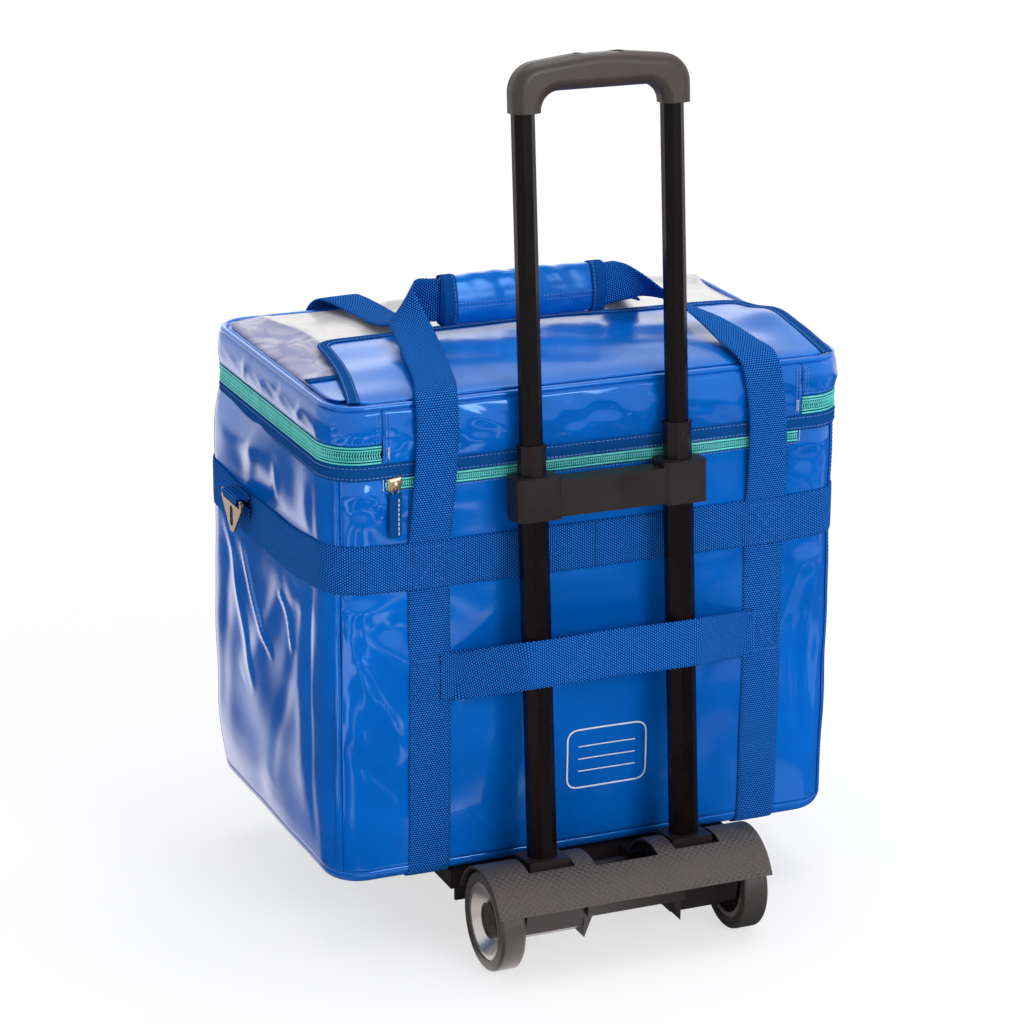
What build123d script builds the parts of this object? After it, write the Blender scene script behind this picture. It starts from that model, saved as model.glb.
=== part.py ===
from build123d import *
import math
import os

# Insulated specimen bag strapped to its telescopic trolley. Millimetres.
# Origin on the floor under the middle of the whole object; +X to the right seen from the trolley
# side, -Y towards the person who pulls the trolley, +Z up.

os.makedirs("parts", exist_ok=True)

# Bag
bag_width = 460.0
bag_depth = 300.0
bag_bottom = 65.0
front_y = -105.1
rear_y = front_y + bag_depth
mid_y = front_y + bag_depth / 2
corner_r = 32.0
bottom_r = 12.0
skin = 1.5
foam = 10.0
liner_t = 1.0
body_top = 428.0
binding_low = 416.0
binding_t = 1.5

# Lid
hinge_z = 474.0
piping_r = 2.5
lid_wall_t = 2.0
lid_wall_low = 444.0
lid_foam_low = 462.0
lid_skin = 1.2
crown = 7.0
hinge_panel_half = 186.0
return_gap = 1.0
window_t = 0.8
flap_t = 1.6
flap_x = 15.5
flap_half = 193.5
flap_depth = 164.0
window_half = 214.0

# Main zip: two rows of teeth that meet at zip_z
zip_z = 436.0
zip_gap = 0.1
tape_t = 1.0
teeth_h = 2.6
teeth_t = 2.6

# Webbing
web_t = 2.0
belt_w = 40.0
belt_z = 338.0
belt_t = 1.8
strap_w = 36.0
strap_left_x = -147.0
strap_right_x = 155.0
loop_stand = 6.0
strap_inner_x = 104.0
sleeve_z = 252.0
sleeve_end = 128.0

# Grip wrap between the two carry loops
wrap_length = 147.0
wrap_t = 20.0
wrap_h = 42.0
wrap_z = 515.0

# Pocket zip and its slider
pocket_z = 411.5
pocket_half = 184.0
pocket_h = 9.0
pocket_start = 177.0

# Shoulder-strap rings
ring_y = front_y + 206.0
ring_z = 346.0
ring_reach = 12.5
ring_w = 52.0
ring_h = 31.0
tab_slope = 20.0
ring_t = 2.6
bar_r = 1.8

# Trolley
wheel_r = 42.0
wheel_in = 99.5
wheel_out = 121.0
rim_r = 32.5
axle_r = 4.0
axle_y = front_y - 55.0
axle_z = wheel_r
shroud_r = 46.5
shroud_t = 2.8
shroud_half = 123.5
shroud_from = 23.0
shroud_to = 147.0
fender_to = 160.0
tube_x = 64.8
lean = 4.93
tube_y = front_y - 48.7
tube_z = 62.0
lower_af = 23.0
mid_af = 20.2
upper_af = 17.6
wall = 1.2
slide_gap = 0.2

# Heights along the leaning tubes, measured from (tube_y, tube_z)
lower_top = 344.3
mid_low = 38.0
collar_low = 349.6
collar_top = 380.4
collar_drop = 6.0
upper_low = 336.0
upper_top = 660.0
bridge_low = 314.0
bridge_top = 349.3
grip_low = 641.0
grip_top = 685.5
grip_under = 657.0
grip_half = 77.0
grip_front = -15.5
grip_rear = 9.5
grip_round = 9.0
button_travel = 4.0


def save(shape, node):
    export_step(shape, "parts/" + node + ".step")


def block(x0, x1, y0, y1, z0, z1):
    # A box from its lowest to its highest corner.
    return Pos((x0 + x1) / 2, (y0 + y1) / 2, (z0 + z1) / 2) * Box(x1 - x0, y1 - y0, z1 - z0)


def plan(inset, z0, z1, radius=None):
    # The bag's rounded rectangle, drawn in by inset and raised from z0 to z1.
    r = corner_r - inset if radius is None else radius
    face = Pos(0, mid_y, z0) * RectangleRounded(bag_width - 2 * inset, bag_depth - 2 * inset, r)
    return extrude(face, z1 - z0)


def bar_x(r, x0, x1, y, z):
    # A round bar along X.
    return Pos((x0 + x1) / 2, y, z) * Rot(0, 90, 0) * Cylinder(r, x1 - x0)


def section_x(points, x0, x1):
    # A closed outline in Y and Z, carried along X.
    wire = Polyline(*[(x0, y, z) for y, z in points], close=True)
    return extrude(make_face(wire), amount=x1 - x0, dir=(1, 0, 0))


def ribbon_x(line, t, x0, x1):
    # A strap of thickness t whose inner side follows the line of (y, z) points; t is laid to the left.
    left = []
    n = len(line)
    for i, (y, z) in enumerate(line):
        dirs = []
        for a, b in ((i - 1, i), (i, i + 1)):
            if a >= 0 and b < n:
                dy, dz = line[b][0] - line[a][0], line[b][1] - line[a][1]
                length = math.hypot(dy, dz)
                dirs.append((dy / length, dz / length))
        ny = sum(-d[1] for d in dirs) / len(dirs)
        nz = sum(d[0] for d in dirs) / len(dirs)
        scale = t / (ny * ny + nz * nz)
        left.append((y + ny * scale, z + nz * scale))
    return section_x(line + left[::-1], x0, x1)


def slanted_strap(x0, y0, z0, x1, y1, z1):
    # A flat strap across the lid, from its edge, centred at x0, in towards the end of the wrap at x1.
    half = strap_w / 2
    corners = [(x0 - half, y0, z0), (x0 + half, y0, z0), (x1 + half, y1, z1), (x1 - half, y1, z1)]
    face = make_face(Polyline(*corners, close=True))
    return extrude(face, amount=web_t, dir=(0, 0, 1))


def mirrored(shape):
    return mirror(shape, about=Plane.YZ)


def pair(shape):
    # The shape and its mirror image, kept as two solids.
    return Compound(children=[shape, mirrored(shape)])


def tube_place(x=0.0):
    # From the leaning tubes' own frame (Z along the tube) to the object's frame.
    return Pos(x, tube_y, tube_z) * Rot(-lean, 0, 0)


def octagon(af, t0, t1):
    # An eight-sided bar, af across its flats, with flats facing X and Y.
    face = Rot(0, 0, 22.5) * RegularPolygon(af / 2, 8, major_radius=False)
    return Pos(0, 0, t0) * extrude(face, t1 - t0)


def make_skins():
    outer = fillet(plan(0, bag_bottom, body_top).faces().sort_by(Axis.Z)[0].edges(), bottom_r)
    inner = plan(skin, bag_bottom + skin, body_top + 1)
    inner = fillet(inner.faces().sort_by(Axis.Z)[0].edges(), bottom_r - skin)
    shell = outer - inner
    side_x = 221.0
    hem = bag_bottom + bottom_r
    reach = bag_width
    base = shell & block(-reach, reach, -reach, reach, 0, hem)
    wall_part = shell - block(-reach, reach, -reach, reach, 0, hem)
    middle = block(-side_x, side_x, -reach, reach, 0, reach * 2)
    left = wall_part & block(-reach, -side_x, -reach, reach, 0, reach * 2)
    right = wall_part & block(side_x, reach, -reach, reach, 0, reach * 2)
    front = (wall_part & middle) & block(-reach, reach, -reach, mid_y, 0, reach * 2)
    rear = (wall_part & middle) & block(-reach, reach, mid_y, reach, 0, reach * 2)
    save(base, "base_panel")
    save(left, "left_panel")
    save(right, "right_panel")
    save(front, "front_panel")
    save(rear, "rear_panel")


def make_foam_and_liner():
    shell_low = bag_bottom + skin
    outer = plan(skin, shell_low, body_top)
    outer = fillet(outer.faces().sort_by(Axis.Z)[0].edges(), bottom_r - skin)
    cavity_inset = skin + foam
    cavity_low = shell_low + foam
    cavity_r = 16.0
    cavity = plan(cavity_inset, cavity_low, body_top + 1, cavity_r)
    reach = bag_width
    front_in = front_y + cavity_inset
    rear_in = rear_y - cavity_inset
    slab = outer & block(-reach, reach, -reach, reach, 0, cavity_low)
    rest = (outer - slab) - cavity
    front = rest & block(-reach, reach, -reach, front_in, 0, reach * 2)
    rear = rest & block(-reach, reach, rear_in, reach, 0, reach * 2)
    sides = rest & block(-reach, reach, front_in, rear_in, 0, reach * 2)
    save(slab, "foam_base")
    save(front, "foam_front")
    save(rear, "foam_rear")
    save(sides & block(-reach, 0, -reach, reach, 0, reach * 2), "foam_left")
    save(sides & block(0, reach, -reach, reach, 0, reach * 2), "foam_right")
    tub = plan(cavity_inset, cavity_low, body_top, cavity_r)
    inside = plan(cavity_inset + liner_t, cavity_low + liner_t, body_top + 1, cavity_r - liner_t)
    save(tub - inside, "liner")


def make_rim_and_zip():
    ring = plan(-binding_t, binding_low, body_top) - plan(0, binding_low - 1, body_top + 1)
    save(ring, "rim_binding")

    span = hinge_panel_half + return_gap
    away = block(-span, span, -bag_width, mid_y, 0, bag_width * 2)
    inset = 0.6

    def half(z_tape0, z_tape1, z_teeth0, z_teeth1):
        tape = plan(inset, z_tape0, z_tape1) - plan(inset + tape_t, z_tape0 - 1, z_tape1 + 1)
        teeth = plan(inset + tape_t - teeth_t, z_teeth0, z_teeth1)
        teeth = teeth - plan(inset + tape_t, z_teeth0 - 1, z_teeth1 + 1)
        return (tape + teeth) - away

    save(half(body_top, zip_z - zip_gap, zip_z - teeth_h, zip_z - zip_gap), "zip_body_side")
    save(half(zip_z + zip_gap, lid_wall_low, zip_z + zip_gap, zip_z + teeth_h), "zip_lid_side")
    panel = block(-hinge_panel_half, hinge_panel_half, front_y, front_y + skin, body_top,
                  hinge_z - piping_r - 0.3)
    save(panel, "hinge_panel")


def crowned(low, rise, inset, radius):
    # A slab with a flat underside at low; its top swells from hinge_z at the rim by rise in the middle.
    base = plan(inset, low, hinge_z + 2 * crown + rise, radius)
    half_w, half_d = bag_width / 2, bag_depth / 2
    top_z = hinge_z + rise
    depth = 400.0
    wide = Polyline((-half_w, 0, top_z), (-half_w, 0, top_z - depth), (half_w, 0, top_z - depth),
                    (half_w, 0, top_z))
    wide_arc = ThreePointArc((half_w, 0, top_z), (0, 0, top_z + crown), (-half_w, 0, top_z))
    wide_bar = extrude(make_face([*wide.edges(), wide_arc]), amount=bag_depth, dir=(0, 1, 0), both=True)
    y0, y1 = mid_y - half_d, mid_y + half_d
    deep = Polyline((0, y0, top_z), (0, y0, top_z - depth), (0, y1, top_z - depth), (0, y1, top_z))
    deep_arc = ThreePointArc((0, y1, top_z), (0, mid_y, top_z + crown), (0, y0, top_z))
    deep_bar = extrude(make_face([*deep.edges(), deep_arc]), amount=bag_width, dir=(1, 0, 0), both=True)
    return base & wide_bar & deep_bar


def make_lid():
    inner = 2 * piping_r + 0.1
    foam_solid = crowned(lid_foam_low, 0.0, inner, corner_r - inner)
    save(foam_solid, "lid_foam")
    skin_solid = crowned(hinge_z - 1.0, lid_skin, inner, corner_r - inner)
    skin_solid = skin_solid - crowned(lid_foam_low, 0.0, inner - 1, corner_r - inner)
    save(skin_solid, "lid_top")

    span = hinge_panel_half + return_gap
    away = block(-span, span, -bag_width, mid_y, 0, bag_width * 2)
    top = hinge_z - piping_r - 0.3
    band = plan(0, lid_wall_low, top) - plan(lid_wall_t, lid_wall_low - 1, top + 1)
    save(band - away, "lid_wall")

    inset = piping_r
    path = Pos(0, mid_y, hinge_z) * RectangleRounded(bag_width - 2 * inset, bag_depth - 2 * inset,
                                                     corner_r - inset)
    wire = path.wires()[0]
    section = Plane(origin=wire @ 0, z_dir=wire % 0) * Circle(piping_r)
    save(sweep(section, path=wire), "lid_piping")


def layer(rise, t, x_mid, x_half, y0, y1, corner):
    # A thin sheet that lies on the crowned lid, cut to a rounded rectangle.
    inset = 2 * piping_r + 0.1
    sheet = crowned(hinge_z, rise + t, inset, corner_r - inset)
    sheet = sheet - crowned(hinge_z - 5, rise, inset - 1, corner_r - inset)
    face = Pos(x_mid, (y0 + y1) / 2, hinge_z - 5) * RectangleRounded(2 * x_half, y1 - y0, corner)
    return sheet & extrude(face, 60)


def make_lid_top_sheets():
    flap_front = front_y + 2 * piping_r + 1.0
    flap_back = front_y + flap_depth
    window_front = front_y + 18.0
    window_back = rear_y - 12.0
    window = layer(lid_skin, window_t, 0.0, window_half, window_front, window_back, 22.0)
    save(window, "window_pocket")
    raised = lid_skin + window_t
    save(layer(raised, flap_t, flap_x, flap_half, flap_front, flap_back, 20.0), "document_flap")


def make_webbing():
    low, high = belt_z - belt_w / 2, belt_z + belt_w / 2
    save(plan(-belt_t, low, high) - plan(0, low - 1, high + 1), "waist_belt")

    # Sewn straps: down the front over the belt, under the base and up the rear over the belt.
    half = strap_w / 2
    sides = ((-1, strap_left_x), (1, strap_right_x))
    lift = belt_t
    turn = bottom_r * (1 - math.tan(math.radians(22.5)))
    line = [(front_y - loop_stand, hinge_z - 12.0), (front_y - loop_stand, high + 7.0),
            (front_y - lift, high + 1.0), (front_y - lift, low - 1.0), (front_y, low - 4.0),
            (front_y, bag_bottom + turn), (front_y + turn, bag_bottom), (rear_y - turn, bag_bottom),
            (rear_y, bag_bottom + turn), (rear_y, low - 4.0), (rear_y + lift, low - 1.0),
            (rear_y + lift, high + 1.0)]
    straps = [ribbon_x(line[::-1], web_t, x - half, x + half) for side, x in sides]
    save(Compound(children=straps), "body_straps")

    # Trolley sleeve: sewn at both ends, standing out round the two lower tubes.
    out = tube_y + math.tan(math.radians(lean)) * (sleeve_z + belt_w / 2 - tube_z)
    out = out - lower_af / 2 - 4.0
    tube_edge = tube_x + lower_af / 2 + 2.0
    tail = sleeve_end + 14.0
    face_y = front_y - web_t
    points = [(-tail, face_y), (-sleeve_end, face_y), (-tube_edge, out), (tube_edge, out),
              (sleeve_end, face_y), (tail, face_y)]
    back = [(x, y - web_t) for x, y in points]
    wire = Polyline(*[(x, y, sleeve_z - belt_w / 2) for x, y in points + back[::-1]], close=True)
    save(extrude(make_face(wire), amount=belt_w, dir=(0, 0, 1)), "sleeve_strap")

    # Front carry loop: starts at the hinge line, crosses the lid and stands on edge in the grip wrap.
    rail_half = strap_inner_x + strap_w / 2
    rail_low, rail_high = wrap_z - strap_w / 2 + 1.0, wrap_z + strap_w / 2 - 1.0
    hem = [(front_y - 3.2, hinge_z + 0.2), (front_y - 3.2, hinge_z + 3.6), (front_y + 2.0, hinge_z + 5.6),
           (front_y + 10.0, hinge_z + 6.6)]
    loop = block(-rail_half, rail_half, mid_y - 2.0 - web_t, mid_y - 2.0, rail_low, rail_high)
    for side, x in sides:
        loop = loop + ribbon_x(hem, web_t, x - half, x + half)
        loop = loop + slanted_strap(x, front_y + 8.0, hinge_z + 6.4, side * strap_inner_x, mid_y - 3.0,
                                    wrap_z - 8.0)
    save(loop, "front_loop")

    # Rear carry loop: up the rear face from the belt, over the lid and into the wrap from behind.
    rise = [(rear_y + loop_stand, high + 4.0), (rear_y + loop_stand, hinge_z + 10.0),
            (rear_y - 2.0, hinge_z + 15.0), (rear_y - 10.0, hinge_z + 15.8)]
    loop = block(-rail_half, rail_half, mid_y + 2.0, mid_y + 2.0 + web_t, rail_low, rail_high)
    for side, x in sides:
        loop = loop + ribbon_x(rise[::-1], web_t, x - half, x + half)
        loop = loop + slanted_strap(x, rear_y - 8.0, hinge_z + 15.6, side * strap_inner_x, mid_y + 3.0,
                                    wrap_z - 8.0)
    save(loop, "rear_loop")

    # Grip wrap: a flattened padded tube round both rails.
    half_t = wrap_t / 2
    face = Plane.YZ * Pos(mid_y, wrap_z) * RectangleRounded(wrap_t, wrap_h, half_t - 0.5)
    roll = Pos(-wrap_length / 2, 0, 0) * extrude(face, amount=wrap_length, dir=(1, 0, 0))
    slot = block(-wrap_length, wrap_length, mid_y - 5.0, mid_y + 5.0, rail_low - 0.5, rail_high + 0.5)
    save(roll - slot, "grip_wrap")


def make_rings():
    axis_x = bag_width / 2 + belt_t + ring_reach
    wall_x = bag_width / 2 + belt_t
    tab_half = ring_w / 2 - 7.5
    loop_in, loop_out = bar_r + 0.3, bar_r + 1.8
    at_bar = Pos(axis_x, ring_y, ring_z)
    # A folded tab: a loop round the bar whose two layers slope down and inward to the belt.
    roll = at_bar * Rot(90, 0, 0) * Cylinder(loop_out, 2 * tab_half)
    layers = block(-30.0, 0.0, -tab_half, tab_half, loop_in - 0.1, loop_out)
    layers = layers + block(-30.0, 0.0, -tab_half, tab_half, -loop_out, 0.1 - loop_in)
    layers = at_bar * Rot(0, -tab_slope, 0) * layers
    layers = layers & block(wall_x, wall_x + 40.0, -500, 500, 0, 500)
    sewn = block(wall_x, wall_x + 1.5, ring_y - tab_half, ring_y + tab_half, ring_z - 14.0, ring_z + 8.0)
    bore = at_bar * Rot(90, 0, 0) * Cylinder(loop_in, 4 * tab_half)
    save(pair(roll + layers + sewn - bore), "ring_tabs")

    half = ring_w / 2
    bar = Pos(axis_x, ring_y, ring_z) * Rot(90, 0, 0) * Cylinder(bar_r, ring_w - 4.0)
    outline = Polyline((0, half, 0), (0, -half, 0), (0, -half, -6.0), (0, -4.0, -ring_h), (0, 4.0, -ring_h),
                       (0, half, -6.0), close=True)
    plate = extrude(make_face(outline), amount=ring_t / 2, dir=(1, 0, 0), both=True)
    plate = fillet(plate.edges().filter_by(Axis.X), 1.8)
    slot = Pos(0, 0, -1.2) * Box(20, ring_w - 10.0, 8.4)
    eye = Pos(0, 0, -17.0) * Rot(0, 90, 0) * extrude(SlotCenterToCenter(10.0, 8.0), 20, both=True)
    ring = Pos(axis_x, ring_y, ring_z) * (plate - slot - eye) + bar
    save(ring, "ring_right")
    save(mirrored(ring), "ring_left")


def make_zip_hardware():
    # Pocket zip tape with its raised coil, its slider and the fabric pull that hangs from it.
    tape = block(-pocket_half, pocket_half, front_y - 0.8, front_y, pocket_z - pocket_h / 2,
                 pocket_z + pocket_h / 2)
    coil = block(-pocket_half, pocket_half, front_y - 1.6, front_y - 0.8, pocket_z - 1.2, pocket_z + 1.2)
    save(tape + coil, "pocket_zip")
    x = -pocket_start
    body = block(x - 5.0, x + 5.0, front_y - 3.3, front_y - 1.9, pocket_z - 3.6, pocket_z + 3.6)
    eye_z = pocket_z - 3.0
    for side in (-1, 1):
        body = body + block(x + side * 3.0 - 0.8, x + side * 3.0 + 0.8, front_y - 5.2, front_y - 3.2,
                            eye_z - 1.4, eye_z + 3.5)
    body = body - bar_x(1.0, x - 8.0, x + 8.0, front_y - 4.3, eye_z)
    save(body, "pocket_slider")
    pin = bar_x(0.7, x - 4.6, x + 4.6, front_y - 4.3, eye_z)
    knuckle = block(x - 1.8, x + 1.8, front_y - 5.0, front_y - 3.6, eye_z - 6.0, eye_z + 0.7)
    tab = block(x - 5.0, x + 5.0, front_y - 5.2, front_y - 3.4, eye_z - 42.0, eye_z - 5.0)
    save(pin + knuckle + tab, "pocket_pull")

    # Main zip sliders: a plate outside the teeth and a foot below them, open at the top so that the lid's
    # teeth lift straight out.
    outer_y = rear_y + teeth_t - tape_t - 0.6
    for name, side in (("left", -1), ("right", 1)):
        x = side * 10.0
        plate = block(x - 7.0, x + 7.0, outer_y + 1.0, outer_y + 2.4, zip_z - 5.5, zip_z + 3.6)
        foot = block(x - 7.0, x + 7.0, rear_y - 0.5, outer_y + 1.1, zip_z - 5.5, zip_z - 3.0)
        eye_z = zip_z - 2.0
        pivot_y = outer_y + 3.8
        slider = plate + foot
        for ear in (-1, 1):
            slider = slider + block(x + ear * 3.4 - 0.9, x + ear * 3.4 + 0.9, outer_y + 2.3, outer_y + 5.2,
                                    eye_z - 1.6, eye_z + 4.0)
        slider = slider - bar_x(1.1, x - 8.0, x + 8.0, pivot_y, eye_z)
        save(slider, "main_slider_" + name)
        pin = bar_x(0.8, x - 5.2, x + 5.2, pivot_y, eye_z)
        knuckle = block(x - 2.0, x + 2.0, pivot_y - 0.8, pivot_y + 0.8, eye_z - 7.0, eye_z + 0.8)
        tab = block(x - 5.5, x + 5.5, pivot_y - 1.0, pivot_y + 1.0, eye_z - 42.0, eye_z - 6.0)
        save(pin + knuckle + tab, "main_pull_" + name)


def arch_sector(r, a0, a1, x0, x1):
    # A pie-shaped bar along X round the axle; angles rise from the -Y side over the top.
    def point(radius, a):
        rad = math.radians(a)
        return (x0, axle_y - radius * math.cos(rad), axle_z + radius * math.sin(rad))

    centre = (x0, axle_y, axle_z)
    arc = ThreePointArc(point(r, a0), point(r, (a0 + a1) / 2), point(r, a1))
    face = make_face([Line(centre, point(r, a0)), arc, Line(point(r, a1), centre)])
    return extrude(face, amount=x1 - x0, dir=(1, 0, 0))


def make_base():
    inner_r = shroud_r - shroud_t
    arch = arch_sector(shroud_r, shroud_from, shroud_to, -shroud_half, shroud_half)
    fender = arch_sector(shroud_r, shroud_to - 1, fender_to, wheel_in - 2.0, shroud_half)
    arch = arch + fender + mirrored(fender)
    arch = arch - bar_x(inner_r, -shroud_half - 1, shroud_half + 1, axle_y, axle_z)
    cut_r = shroud_r + 20.0
    cuts = arch_sector(cut_r, 66.0, 151.0, -28.5, 28.5)
    for side in (-1, 1):
        ends = sorted((side * 45.5, side * 87.0))
        cuts = cuts + arch_sector(cut_r, 70.0, 151.0, ends[0], ends[1])
    arch = arch - cuts
    # Cross floor that ties the two axle blocks together under the middle cut-out.
    floor = block(-44.0, 44.0, axle_y - 36.0, axle_y + 30.0, 50.0, 53.0)
    keel = block(-44.0, 44.0, axle_y + 12.0, axle_y + 15.0, 30.0, 50.0)
    web_l = block(-44.0, -41.0, axle_y - 33.0, axle_y + 30.0, 52.9, 62.0)
    hooks = web_l + mirrored(web_l)
    # Slanted gussets beside the axle blocks, below the floor.
    gusset = Polyline((44.0, axle_y - 32.0, 28.0), (44.0, axle_y - 32.0, 50.5), (35.0, axle_y - 32.0, 50.5),
                      close=True)
    gusset = extrude(make_face(gusset), amount=30.0, dir=(0, 1, 0))
    gusset = gusset - bar_x(axle_r + 0.5, 30.0, 50.0, axle_y, axle_z)
    hooks = hooks + gusset + mirrored(gusset)
    lip = block(-44.0, 44.0, axle_y - 40.0, axle_y - 35.9, 50.0, 62.0) & bar_x(inner_r, -50, 50, axle_y, axle_z)
    save(arch + (floor + keel + hooks + lip), "base_shroud")

    axle_end = wheel_out - 6.0
    save(bar_x(axle_r, -axle_end, axle_end, axle_y, axle_z), "axle_rod")

    pin_y, pin_z = front_y - 12.0, 55.0
    for name, side in (("left", -1), ("right", 1)):
        x0, x1 = sorted((side * 44.0, side * 96.0))
        outline = [(axle_y - 34.0, 56.0), (axle_y - 30.0, 38.0), (axle_y - 12.0, 27.0), (axle_y + 12.0, 27.0),
                   (axle_y + 24.0, 40.0), (pin_y + 7.0, 46.0), (pin_y + 7.0, 59.0), (axle_y + 38.0, 60.0),
                   (axle_y + 28.0, 69.0), (axle_y + 4.0, 75.0), (axle_y - 22.0, 70.0)]
        body = section_x(outline, x0, x1)
        centre = side * tube_x
        collar = tube_place(centre) * Pos(0, -1.0, 16.5) * Box(36.0, 33.0, 21.0)
        body = (body + collar) & block(x0, x1, -500, 500, 0, 500)
        body = body - (tube_place(centre) * octagon(lower_af, 0.0, 60.0))
        body = body - bar_x(axle_r, x0 - 1, x1 + 1, axle_y, axle_z)
        body = body - bar_x(4.0, x0 - 1, x1 + 1, pin_y, pin_z)
        save(body, "axle_block_" + name)
    save(bar_x(4.0, -96.0, 96.0, pin_y, pin_z), "footplate_pin")

    # Footplate: a ribbed tray that carries the bag, hung on its pin and standing on two legs.
    top = bag_bottom
    y0, y1 = front_y - 2.0, front_y + 236.0
    tray = block(-128.0, 128.0, y0, y1, top - 4.0, top)
    for side in (-1, 1):
        x0, x1 = sorted((side * 128.0, side * 124.0))
        tray = tray + block(x0, x1, y0, y1, top - 15.0, top - 3.9)
        x0, x1 = sorted((side * 122.0, side * 98.0))
        tray = tray + block(x0, x1, y1 - 24.0, y1 - 4.0, 6.0, top - 3.9)
        x0, x1 = sorted((side * 36.0, side * 42.0))
        tray = tray + block(x0, x1, y0, y1 - 20.0, top - 12.0, top - 3.9)
        x0, x1 = sorted((side * 28.0, side * 42.0))
        tray = tray + block(x0, x1, pin_y - 7.0, y0 + 0.1, pin_z - 7.0, top - 1.0)
    tray = tray + block(-124.0, 124.0, y0, y0 + 3.0, top - 26.0, top - 3.9)
    for y in (y0 + 60.0, y0 + 120.0, y0 + 180.0):
        tray = tray + block(-124.0, 124.0, y, y + 4.0, top - 12.0, top - 3.9)
    tray = tray - bar_x(4.0, -60, 60, pin_y, pin_z)
    save(tray, "footplate")
    foot = block(96.0, 124.0, y1 - 26.0, y1 - 2.0, 0.0, 10.0)
    foot = foot - block(98.0, 122.0, y1 - 24.0, y1 - 4.0, 6.0, 11.0)
    save(pair(foot), "footplate_feet")


def make_wheels():
    width = wheel_out - wheel_in
    centre = (wheel_in + wheel_out) / 2
    tyre = bar_x(wheel_r, wheel_in, wheel_out, axle_y, axle_z)
    tyre = fillet(tyre.edges().filter_by(GeomType.CIRCLE), 3.0)
    tyre = tyre - bar_x(rim_r, wheel_in - 1, wheel_out + 1, axle_y, axle_z)
    dish = Pos(wheel_out + 1.0, axle_y, axle_z) * Rot(0, 90, 0)
    # Rim: an open drum with a dished outer face and a web that carries the hub.
    rim = bar_x(rim_r, wheel_in + 1.0, wheel_out - 1.0, axle_y, axle_z)
    cone = dish * Pos(0, 0, -6.0) * Cone(19.0, 30.0, 12.0)
    rim = rim - cone - bar_x(28.0, wheel_in, wheel_in + 6.0, axle_y, axle_z)
    for i in range(6):
        slot = Pos(0, axle_y, axle_z) * Rot(60.0 * i, 0, 0) * Pos(0, 16.5, 0)
        rim = rim - slot * block(centre - width, centre + width, -1.6, 1.6, -4.0, 4.0)
    bore_r = axle_r + 0.06
    rim = rim - bar_x(bore_r, wheel_in, wheel_out, axle_y, axle_z)
    cap_in = wheel_out - 12.0
    rim = rim - bar_x(15.0, cap_in, wheel_out + 1, axle_y, axle_z)
    cap = bar_x(15.0, cap_in, cap_in + 7.5, axle_y, axle_z)
    cap = cap - bar_x(12.5, cap_in + 6.3, cap_in + 8.0, axle_y, axle_z)
    cap = cap + bar_x(4.6, cap_in, cap_in + 7.5, axle_y, axle_z)
    cap = cap - bar_x(bore_r, cap_in - 1, axle_end_x() + 0.4, axle_y, axle_z)
    for name, shape in (("tyre", tyre), ("rim", rim), ("hub_cap", cap)):
        save(shape, name + "_right")
        save(mirrored(shape), name + "_left")


def axle_end_x():
    return wheel_out - 6.0


def make_tubes():
    def hollow(af, t, t0, t1):
        return octagon(af, t0, t1) - octagon(af - 2 * t, t0 - 1, t1 + 1)

    def both(shape):
        return Compound(children=[tube_place(-tube_x) * shape, tube_place(tube_x) * shape])

    save(both(hollow(lower_af, wall, 0.0, lower_top)), "lower_tubes")
    save(both(hollow(mid_af, 1.0, mid_low, collar_low)), "mid_tubes")
    save(both(hollow(upper_af, 1.0, upper_low, upper_top)), "upper_tubes")
    # Collars: a thin rim at the top and small raised squares on the front flat; the left one sits lower.
    collars = []
    for side, top in ((-1, collar_top - collar_drop), (1, collar_top)):
        collar = octagon(lower_af - 1.4, collar_low, top) + octagon(lower_af, top - 2.2, top)
        for z in (top - 9.5, top - 20.0):
            collar = collar + Pos(0, 0.7 - lower_af / 2, z) * Box(4.6, 1.0, 4.6)
        collar = collar - octagon(upper_af + 2 * slide_gap, collar_low - 1, top + 1)
        collars.append(tube_place(side * tube_x) * collar)
    save(Compound(children=collars), "mid_collars")

    # Bridge: two clamp blocks and the bar between them.
    bridge = None
    half = 20.0
    for side in (-1, 1):
        clamp = Pos(side * tube_x, -2.75, bridge_low) * RectangleRounded(2 * half, 29.5, 7.0)
        clamp = extrude(clamp, bridge_top - bridge_low)
        bridge = clamp if bridge is None else bridge + clamp
    bridge = bridge + block(-tube_x, tube_x, -15.0, 8.0, bridge_low + 1.5, bridge_top - 4.5)
    for side in (-1, 1):
        place = Pos(side * tube_x, 0, 0)
        bridge = bridge - place * octagon(lower_af, bridge_low - 1, lower_top)
        bridge = bridge - place * octagon(mid_af + 2 * slide_gap, lower_top - 1, bridge_top + 1)
    screw_t = (bridge_low + bridge_top) / 2
    shank = Rot(90, 0, 0) * Cylinder(1.6, 11.6)
    head = Rot(90, 0, 0) * Cylinder(3.2, 1.6)
    screws = []
    for x in (-30.0, 30.0):
        hole = Pos(x, 3.0, screw_t) * shank
        sink = Pos(x, 7.9, screw_t) * head
        bridge = bridge - hole - sink
        screws.append(Pos(x, 3.0, screw_t) * shank + sink)
    save(tube_place() * bridge, "bridge_clamp")
    save(Compound(children=[tube_place() * s for s in screws]), "frame_screws")


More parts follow.
